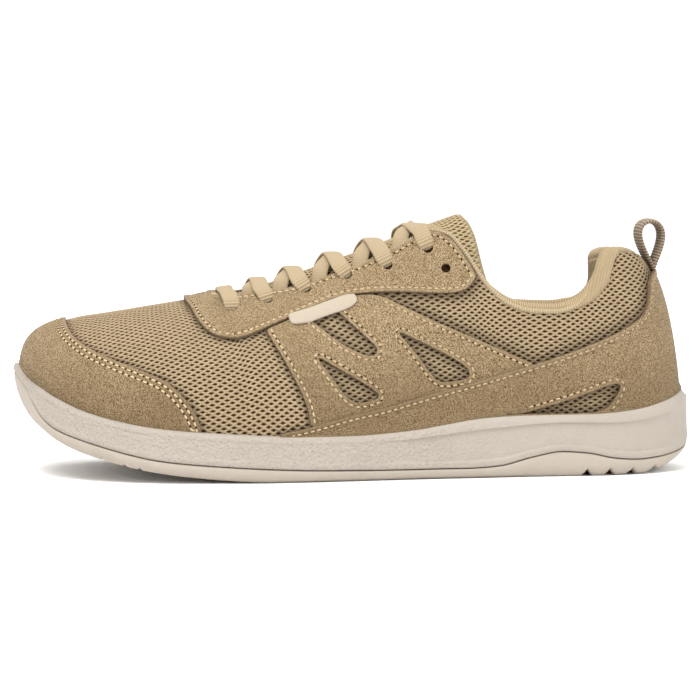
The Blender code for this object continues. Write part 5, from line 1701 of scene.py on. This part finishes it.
def tube(name, path, ups, wide, high, look, sides, wave, wave_pitch, size):
    """A soft tube with an oval section. A small wave along it reads as gathered tape."""
    along = unit(np.gradient(path, axis=0))
    sideways = unit(np.cross(along, ups))
    upward = np.cross(sideways, along)
    run = lengths_along(path)
    turns = np.linspace(0, 2 * math.pi, sides, endpoint=False)
    swell = (1 + wave * np.sin(2 * math.pi * run[:, None] / wave_pitch + turns[None, :])) * size[:, None]
    points = (path[:, None] + sideways[:, None] * (np.cos(turns) * wide / 2 * swell)[..., None]
              + upward[:, None] * (np.sin(turns) * high / 2 * swell)[..., None])
    faces = tube_faces(len(path), sides)
    obj = plain_object(name, points.reshape(-1, 3), faces, look, {"rib": np.repeat(run * 1000, sides)})
    return tidy_mesh(obj, 1e-7)


# %% Binding round throat and collar
BINDING_END = float(-SEAM_RING[2])
half = np.concatenate([np.linspace(THROAT + 0.0005, THROAT + 0.02, 14),
                       np.linspace(THROAT + 0.022, BINDING_END, 380)])
edge_rings = np.concatenate([-half[::-1], half])
edge_points = body_at(edge_rings, np.ones(len(edge_rings)))
edge_out = body_out(edge_rings, np.full(len(edge_rings), 0.995))
grown = smoothstep(angle_of(0.60), angle_of(0.68), np.abs(edge_rings))[:, None]
spine = even(edge_points - edge_out * (0.0010 - 0.0008 * grown), 0.0004, closed=False)
nearest = [int(np.argmin(((edge_points - p) ** 2).sum(axis=1))) for p in spine]
taper = 1 - 0.8 * smoothstep(-SEAM_RING[0], BINDING_END, np.abs(edge_rings[nearest]))
binding = tube("topline_binding", spine, edge_out[nearest], 0.0021, 0.0026, binding_look, sides=10,
               wave=0.09, wave_pitch=0.0013, size=taper)
hand_over(binding, "lace_cloth")


# %% Tongue
def tongue_grid(stations=72, points_across=49):
    """The tongue's outer surface, from under the vamp to its free top, evenly spaced across."""
    first = THROAT + 2 * (1 - THROAT) / 21
    depth = MESH_WALL + CLEARANCE + 0.0006
    grid = []
    for foot in np.linspace(first, COLLAR, stations):
        along = float(read(CREST, "along", foot))
        crest = np.array([(along - 0.5) * SHOE_LENGTH, float(read(RIDGE, "middle", along)) * BALL_WIDTH,
                          float(read(CREST, "height", foot)) * INSTEP_HEIGHT])
        halves = []
        for side in (LATERAL, MEDIAL):
            us = np.linspace(0.667, 1.0, 7)
            ring = np.full(7, side * foot)
            edge = over_body(ring, us, -(depth + wall_at(ring, us) - MESH_WALL))
            start, way = edge[-1], unit(edge[-1] - edge[-2])
            span = np.linalg.norm(crest - start)
            t = np.linspace(0, 1, 14)[1:-1, None]
            one, two = start + way * span * 0.33, crest + np.array([0, side * span * 0.45, 0])
            bridge = (1 - t) ** 3 * start + 3 * (1 - t) ** 2 * t * one + 3 * (1 - t) * t**2 * two + t**3 * crest
            halves.append(np.vstack([edge, bridge]))
        line = np.vstack([halves[0], crest[None], halves[1][::-1]])
        at = lengths_along(line)
        grid.append(points_at(np.linspace(0, at[-1], points_across), at, line))
    grid = np.array(grid)
    cut_back = 0.0068 * smoothstep(0.05, 0.62, np.abs(np.linspace(-1, 1, points_across)))
    for k in range(points_across):
        at = lengths_along(grid[:, k])
        grid[:, k] = points_at(np.linspace(0, at[-1] - cut_back[k], stations), at, grid[:, k])
    front = grid[0] - (grid[3] - grid[0]) * np.linspace(3.2, 0.5, 6)[:, None, None]
    front[:, :, 2] -= 0.0010
    return np.concatenate([front, grid])


def grid_out(grid):
    ways_v, ways_w = np.gradient(grid, axis=0), np.gradient(grid, axis=1)
    return unit(np.cross(ways_v, ways_w))


TONGUE = tongue_grid()
TONGUE_OUT = grid_out(TONGUE)
if TONGUE_OUT[..., 2].mean() < 0:
    TONGUE_OUT = -TONGUE_OUT
MIDDLE = TONGUE.shape[1] // 2
lengths = lengths_along(TONGUE[:, MIDDLE]) * 1000
widths = np.linalg.norm(np.diff(TONGUE, axis=1), axis=2).sum(axis=1) * 1000
v_share, w_share = np.linspace(0, 1, len(TONGUE)), np.abs(np.linspace(-1, 1, TONGUE.shape[1]))
thick = 0.0050 * (0.45 + 0.55 * smoothstep(0.0, 0.35, v_share))[:, None]
thick = thick * (1 - 0.55 * smoothstep(0.6, 1.0, w_share))[None, :]
free = np.minimum((lengths[-1] - lengths)[:, None] / 1000, (1 - w_share)[None, :] * widths[:, None] / 2000)
half_thick = thick / 2
turned_in = half_thick - np.sqrt(np.maximum(half_thick**2 - np.maximum(half_thick - free, 0) ** 2, 0))
TONGUE_FRONT = TONGUE - TONGUE_OUT * turned_in[..., None]


def closed_pad(name, front, back, look, numbers):
    rows, cols = front.shape[:2]
    points = np.concatenate([front.reshape(-1, 3), back.reshape(-1, 3)])
    faces = []
    for k in range(rows - 1):
        for r in range(cols - 1):
            a, b, c, d = k * cols + r, (k + 1) * cols + r, (k + 1) * cols + r + 1, k * cols + r + 1
            faces += [(a, b, c, d), tuple(i + rows * cols for i in (d, c, b, a))]
    rim = [r for r in range(cols)] + [k * cols + cols - 1 for k in range(1, rows)]
    rim += [(rows - 1) * cols + r for r in range(cols - 2, -1, -1)] + [k * cols for k in range(rows - 2, 0, -1)]
    faces += [(a, b, b + rows * cols, a + rows * cols) for a, b in zip(rim, rim[1:] + rim[:1])]
    return tidy_mesh(plain_object(name, points, faces, look, numbers), 1e-6)


across_mm = (np.linspace(-1, 1, 49)[None, :] * widths[:, None] / 2).ravel()
pad_front = TONGUE_FRONT - TONGUE_OUT * 0.0009 * np.clip(free / 0.002, 0.15, 1)[..., None]
pad_back = TONGUE - TONGUE_OUT * (thick - turned_in)[..., None]
both_sides = {"rib": np.concatenate([across_mm, across_mm])}
tongue_pad = closed_pad("tongue_pad", pad_front, pad_back, lining_look, both_sides)
hand_over(tongue_pad, "mesh_cloth", "tongue")


def grid_read(grid, v, w):
    """Points of a grid between its rows and columns."""
    v, w = np.clip(v, 0, grid.shape[0] - 1.001), np.clip(w, 0, grid.shape[1] - 1.001)
    a, b = v.astype(int), w.astype(int)
    s, t = (v - a)[:, None], (w - b)[:, None]
    return (grid[a, b] * (1 - s) * (1 - t) + grid[a + 1, b] * s * (1 - t)
            + grid[a, b + 1] * (1 - s) * t + grid[a + 1, b + 1] * s * t)


def tongue_lay(flat):
    v = np.interp(flat[:, 0], lengths, np.arange(len(lengths)))
    w = (flat[:, 1] / (np.interp(v, np.arange(len(widths)), widths) / 2) + 1) * MIDDLE
    return grid_read(TONGUE_FRONT, v, w), unit(grid_read(TONGUE_OUT, v, w))


centres = lattice((2.0, -40.0), (lengths[-1] - 0.2, 40.0))
v = np.interp(centres[:, 0], lengths, np.arange(len(lengths)))
keep = np.abs(centres[:, 1]) < np.interp(v, np.arange(len(widths)), widths) / 2 - 0.4
tongue_mesh = cell_sheet("tongue_mesh", centres[keep], tongue_lay, tongue_look)
print(int(keep.sum()), "holes in the tongue")
hand_over(tongue_mesh, "mesh_cloth", "tongue")

# %% [markdown]
# ## Lace
#
# The lace is flat, 7 mm wide, woven in fine ribs. A straight bar joins the front eyelets. Every other strand
# comes out from under the far side of the throat, crosses the tongue, lies over the eyestay's edge and dives
# into its eyelet, where its width is squeezed and its ribs bunch up. The picture shows no bow and no ends, so
# the lace stops inside the top eyelets.

# %% Surfaces the lace lies on
def tree_of(grid):
    rows, cols = grid.shape[:2]
    faces = [(k * cols + r, (k + 1) * cols + r, (k + 1) * cols + r + 1, k * cols + r + 1)
             for k in range(rows - 1) for r in range(cols - 1)]
    return BVHTree.FromPolygons(grid.reshape(-1, 3).tolist(), faces)


rings = np.linspace(-0.72, 0.72, 361)
parts = rings[rings <= -THROAT], rings[rings >= THROAT], rings[np.abs(rings) < THROAT]
INSTEP_TREES = [tree_of(body_at(part[:, None], np.linspace(0.35, 1, 40)[None, :])) for part in parts]
TONGUE_TREE = tree_of(TONGUE)
LACE_WIDTH, LACE_THICKNESS = 0.0070, 0.0016
LACE_LIFT = SUEDE_LAYER + 0.0002 + LACE_THICKNESS / 2
STRAND_POINTS = 150
GROUNDS = [(tree, LACE_THICKNESS / 2 + SUEDE_LAYER + 0.0002) for tree in INSTEP_TREES]
GROUNDS.append((TONGUE_TREE, LACE_THICKNESS / 2 + 0.0001))


def smooth_path(points, count):
    points = np.array(points, float)
    step = lengths_along(points)
    at = np.linspace(0, step[-1], count)
    columns = {"at": step, "x": points[:, 0], "y": points[:, 1], "z": points[:, 2]}
    return np.column_stack([read(columns, name, at) for name in "xyz"]), step / step[-1]


def lift_clear(path, ways, free):
    """Raises a path until the lace clears what it lies on. Points marked free are left alone."""
    for _ in range(3):
        along = np.gradient(path, axis=0)
        short = np.zeros(len(path))
        for k, point in enumerate(path):
            if free[k]:
                continue
            sideways = unit(np.cross(along[k], ways[k]))
            for share in (-0.45, 0.0, 0.45):
                spot = Vector(point + sideways * LACE_WIDTH * share)
                for tree, need in GROUNDS:
                    way = Vector(ways[k])
                    hit, normal, _, distance = tree.ray_cast(spot + way * 0.02, -way, 0.03)
                    if hit is not None:
                        short[k] = max(short[k], need - (distance - 0.02) * abs(normal.dot(way)))
        spread = np.array([short[max(0, k - 2):k + 3].mean() for k in range(len(short))])
        path = path + ways * np.where(free, 0.0, np.maximum(short, spread))[:, None]
    return path


def ribbon(name, path, ways, width, thickness, look, sides=16, ribs=0.00009, pitch=0.0012, pleat=1.0):
    """A flat woven band along a path, with fine ribs across it. width and thickness may change along it."""
    along = unit(np.gradient(path, axis=0))
    sideways = unit(np.cross(along, ways))
    upward = np.cross(sideways, along)
    run = lengths_along(path)
    turns = np.linspace(0, 2 * math.pi, sides, endpoint=False)
    c, s = np.cos(turns), np.sin(turns)
    wide = np.sign(c) * np.abs(c) ** 0.55
    high = np.sign(s) * np.abs(s) ** 0.8
    width = np.broadcast_to(width, len(path))[:, None]
    thickness = np.broadcast_to(thickness, len(path))[:, None]
    pleat = np.broadcast_to(pleat, len(path))[:, None]
    rib = ribs * pleat * np.sin(2 * math.pi * run[:, None] / pitch + 0.9 * np.abs(wide)[None, :] * 3)
    points = (path[:, None] + sideways[:, None] * (wide * width / 2)[..., None]
              + upward[:, None] * (high * (thickness / 2 + rib))[..., None])
    obj = plain_object(name, points.reshape(-1, 3), tube_faces(len(path), sides), look, {
        "run": np.repeat(run * 1000, sides), "across": (wide * width * 500).ravel(),
        "pleat": (pleat + 0 * wide).ravel()})
    return tidy_mesh(obj, 1e-7)


# %% The strands
def throat_place(side, along, lift):
    feet = np.linspace(THROAT + 0.001, 0.72, 400)
    edge = body_at(side * feet, np.ones(400))
    stop = int(np.argmax(edge[:, 2]))
    foot = float(np.interp((along - 0.5) * SHOE_LENGTH, edge[:stop, 0], feet[:stop]))
    point, out = body_spot(side * foot)
    return point + out * lift, out


def crest_place(along, lift):
    return np.array([(along - 0.5) * SHOE_LENGTH, float(read(RIDGE, "middle", along)) * BALL_WIDTH,
                     float(read(CREST, "height", along, key="along")) * INSTEP_HEIGHT + lift])


def eyelet(side, row):
    ring, u = place(side, [EYELETS["along"][row]], [EYELETS["height"][row]])
    return body_at(ring, u)[0], body_out(ring, u)[0]


def dive(point, out, toward):
    """The last millimetres of a strand: over the eyelet's edge and down the hole."""
    over = unit(toward - out * (toward @ out))
    steps = ((-0.0050, 0.0009), (-0.0022, 0.0009), (0.0004, 0.0010),
             (LACE_LIFT - 0.0003, 0.0019), (LACE_LIFT + 0.0002, 0.0034))
    stops = [point + out * height + over * away for height, away in steps]
    ways = [-over, -over, unit(out * 0.5 - over), unit(out - over * 0.35), out]
    return stops, ways


def strand(name, side, row):
    """From inside an eyelet over the throat to under its far edge, or to the other eyelet on the straight bar."""
    along = EYELETS["along"][row]
    bar = row == 0
    start, start_out = eyelet(side, row)
    ahead_of_hole = 0.004 if bar else 0.0075 if side == LATERAL else 0.012
    over, over_out = throat_place(side, along - ahead_of_hole, LACE_LIFT + 0.0010)
    up = np.array([0.0, 0.0, 1.0])
    stops, ways = dive(start, start_out, over - start)
    if bar:
        middle = crest_place(along - 0.005, 0.0012)
        far, far_out = throat_place(-side, along - ahead_of_hole, LACE_LIFT + 0.0010)
        end, end_out = eyelet(-side, row)
        end_stops, end_ways = dive(end, end_out, far - end)
        stops += [over, middle, far] + end_stops[::-1]
        ways += [over_out, up, far_out] + end_ways[::-1]
    else:
        ahead = EYELETS["along"][row - 1]
        gap = 0.024 if row == 1 else 0.0145
        above, arch = (0.0032, 0.0004) if side == LATERAL else (0.0017, 0.0018)
        middle = crest_place((along + ahead + gap) / 2 + 0.003, above)
        reach = ahead + gap + (0.010 if side == LATERAL else 0.0)
        far, far_out = throat_place(-side, reach, -0.0026)
        rise, _ = throat_place(-side, reach, 0.0004)
        inner = rise + (middle - rise) * 0.36 + up * arch
        under = far + unit(far - inner) * 0.007 - far_out * 0.0012
        stops += [over, middle, inner, far, under]
        ways += [over_out, up, unit(far_out + up), far_out, far_out]
    path, at = smooth_path(stops, STRAND_POINTS)
    where = np.linspace(0, 1, STRAND_POINTS)
    ways = unit(points_at(where, at, np.array(ways)))
    free = where < at[4]
    free |= where > (at[-5] if bar else at[-2] - 0.04)
    path = lift_clear(path, ways, free)
    for _ in range(6):
        path[1:-1] = path[1:-1] * 0.5 + (path[:-2] + path[2:]) * 0.25
    length = np.linalg.norm(np.diff(path, axis=0), axis=1).sum()
    from_hole = np.minimum(where, 1 - where if bar else 1.0) * length
    squeeze = np.clip((from_hole - 0.0042) / 0.0042, 0, 1)
    width = 0.0026 + (LACE_WIDTH - 0.0026) * np.sqrt(1 - (1 - squeeze) ** 2)
    thick = 0.0022 + (LACE_THICKNESS - 0.0022) * squeeze
    pleat = 1 - smoothstep(0.0070, 0.0120, from_hole)
    return ribbon(name, path, ways, width, thick, lace_look, pitch=0.0010, pleat=pleat)


hand_over(strand("lace_bar", LATERAL, 0), "lace_cloth", "lace_1")
for row in range(1, 6):
    for side, word in ((MEDIAL, "inner"), (LATERAL, "outer")):
        hand_over(strand(f"lace_{row + 1}_{word}", side, row), "lace_cloth", f"lace_{row + 1}")


# %% Eyelet holes
def eyelet_wells():
    """A dark cup under every eyelet, because light doesn't come back from inside the shoe."""
    points, faces = [], []
    for side in (LATERAL, MEDIAL):
        for row in range(7):
            spot, out = eyelet(side, row)
            first = unit(np.cross(out, (0, 0, 1.0)))
            second = np.cross(out, first)
            base = len(points)
            turns = np.linspace(0, 2 * math.pi, 16, endpoint=False)
            for radius, lift in ((0.00200, 0.0008), (0.00190, 0.0003), (0.00180, -0.0010), (0.0012, -0.0011)):
                points += [spot + out * lift + (first * math.cos(t) + second * math.sin(t)) * radius for t in turns]
            for low in range(base, base + 48, 16):
                faces += [(low + k, low + (k + 1) % 16, low + 16 + (k + 1) % 16, low + 16 + k) for k in range(16)]
            faces.append(tuple(base + 48 + k for k in range(16)))
    return plain_object("eyelet_wells", points, faces, hole_shade_look)


hand_over(eyelet_wells(), "mesh_cloth")

# %% [markdown]
# ## Pull loop and tab
#
# The pull loop is a strap of ribbed webbing, folded and sewn to the back of the collar. The small tab is a
# folded end of cream tape caught under the eyestay's seam. It is left blank.

# %% Pull loop
STRAP = 0.0019


def pull_loop():
    back_u = np.linspace(0.3, 1, 60)
    line, out = body_at(np.ones(60), back_u), body_out(np.ones(60), back_u)
    seat_height = 0.800 * INSTEP_HEIGHT + CLEARANCE * 2
    seat, normal = (points_at(seat_height, line[:, 2], values)[0] for values in (line, out))
    foot = seat + normal * (CLEARANCE + STRAP * 0.04) + np.array([0, 0, STRAP * 0.75 - 0.0012])
    turn = 2 * math.pi * (np.arange(160) + 0.5) / 160
    rise = (1 - np.cos(turn)) / 2
    wide = np.sin(turn) * np.abs(np.sin(turn / 2)) ** 1.6
    path = foot + np.column_stack([wide * 0.010 * 0.72 - 0.0012 * rise, 0 * rise, rise * 0.0202])
    ahead = np.roll(path, -1, axis=0) - np.roll(path, 1, axis=0)
    facing = unit(np.column_stack([-ahead[:, 2], 0 * rise, ahead[:, 0]]))
    path = np.vstack([path, path[:1] + (path[1] - path[0]) * 0.001])
    facing = np.vstack([facing, facing[:1]])
    turn = math.radians(5)
    spin = np.array([[math.cos(turn), -math.sin(turn), 0], [math.sin(turn), math.cos(turn), 0], [0, 0, 1]])
    path, facing = (path - foot) @ spin.T + foot, facing @ spin.T
    return ribbon("heel_pull_loop", path, facing, 0.0118, STRAP, webbing_look, sides=20, ribs=0.00012, pitch=0.00125)


hand_over(pull_loop(), "webbing", "pull_loop")


# %% Side tab
def tab_bulge(ring, u, edge):
    return 0.0009 * smoothstep(0.2, 3.0, edge)


tab, _ = panel("side_tape_tab", tab_look, SIDE_CHART, [on_side(LATERAL, SIDE_TAB, 0.4, 0.3)], thickness=0.0012,
               low=SUEDE_LAYER + 0.0001, spacing=1.6, stitch_rows=(), raise_by=tab_bulge)
hand_over(tab, "tab_cloth", "side_tab")

# %% [markdown]
# ## Stitches
#
# Each panel is sewn 2 mm from its edge, the toe cap twice. A stitch is a short bowed length of cream thread that goes
# down into the suede at both ends, with a small dark bead between two: painted shade for the needle hole. One
# Geometry Nodes tree walks along a line, sets a stitch at every pitch, turns it along the line and stands it up by
# the surface's normal.

# %% Stitch recipe
STITCH_PITCH = 0.0028


def stitch_recipe():
    recipe = Recipe("stitch row", pitch=STITCH_PITCH, length=0.0022, thickness=0.00092)
    curve = recipe.add("GeometryNodeMeshToCurve", None, {0: recipe.given("Geometry")})
    spaced = {"Curve": curve, "Length": recipe.given("pitch")}
    even_line = recipe.add("GeometryNodeResampleCurve", {"mode": "LENGTH"}, spaced)
    way = recipe.add("GeometryNodeInputTangent")
    up = recipe.add("GeometryNodeInputNamedAttribute", {"data_type": "FLOAT_VECTOR"}, {"Name": "up"})
    turn = recipe.add("FunctionNodeAxesToRotation", {"primary_axis": "X", "secondary_axis": "Z"}, {
        "Primary Axis": way, "Secondary Axis": up})
    bead = recipe.add("GeometryNodeMeshUVSphere", None, {"Segments": 6, "Rings": 6, "Radius": 0.5})
    size = recipe.add("ShaderNodeCombineXYZ", None, {
        "X": recipe.given("length"), "Y": recipe.given("thickness"), "Z": recipe.given("thickness")})
    thread = recipe.add("GeometryNodeTransform", None, {"Geometry": bead, "Scale": size})
    rows = recipe.add("GeometryNodeInstanceOnPoints", None, {
        "Points": even_line, "Instance": thread, "Rotation": turn})
    recipe.close(rows)
    return recipe


stitching = stitch_recipe()


def line_object(name, runs):
    """Open lines as one object. Each run is (points, normals)."""
    points, ups, edges = [], [], []
    for places, normals in runs:
        base = len(points)
        points += list(places)
        ups += list(normals)
        edges += [(base + k, base + k + 1) for k in range(len(places) - 1)]
    mesh = bpy.data.meshes.new(name)
    mesh.from_pydata([tuple(map(float, p)) for p in points], edges, [])
    mesh.attributes.new("up", "FLOAT_VECTOR", "POINT").data.foreach_set("vector", np.array(ups, np.float32).ravel())
    obj = bpy.data.objects.new(name, mesh)
    bpy.context.scene.collection.objects.link(obj)
    return obj


def seam_runs(chart, lines, distance, lift, under=None):
    return [(chart.at(r, v) + chart.out(r, v) * lift, chart.out(r, v))
            for r, v in stitch_line(chart, lines, distance, under)]


SURFACE = 0.0001 + SUEDE_LAYER - 0.00008
runs = []
for distance in TOE_ROWS:
    runs += seam_runs(TOE_CHART, toe_lines, distance, SURFACE)
runs += seam_runs(INSTEP_CHART, stay_lines[:1], STITCH_ROW, SURFACE + 0.0001)
for side in (LATERAL, MEDIAL):
    runs += seam_runs(SIDE_CHART, saddle_lines[side], STITCH_ROW, SURFACE, OVER_SADDLE)
runs += seam_runs(SIDE_CHART, counter_lines, STITCH_ROW, SURFACE + 0.0002)
runs = [(p, n) for p, n in runs if len(p) > 4]
print(len(runs), "stitch rows")
needle_runs = []
for places, normals in runs:
    step = lengths_along(places)
    start = int(np.searchsorted(step, STITCH_PITCH / 2))
    if len(places) - start > 4:
        first = points_at(STITCH_PITCH / 2, step, places)
        ways = np.vstack([normals[start], normals[start:]])
        needle_runs.append((np.vstack([first, places[start:]]) - ways * 0.00006, ways))
stitches = stitching.run(line_object("seam_stitches", runs), thread_look)
stitches.data.shade_smooth()
hand_over(stitches, "lace_cloth")
# Painted shade: a small dark bead between two stitches stands for the shade in each needle hole.
needles = stitching.run(line_object("needle_holes", needle_runs), hole_shade_look, length=0.0010, thickness=0.0009)
hand_over(needles, "suede")
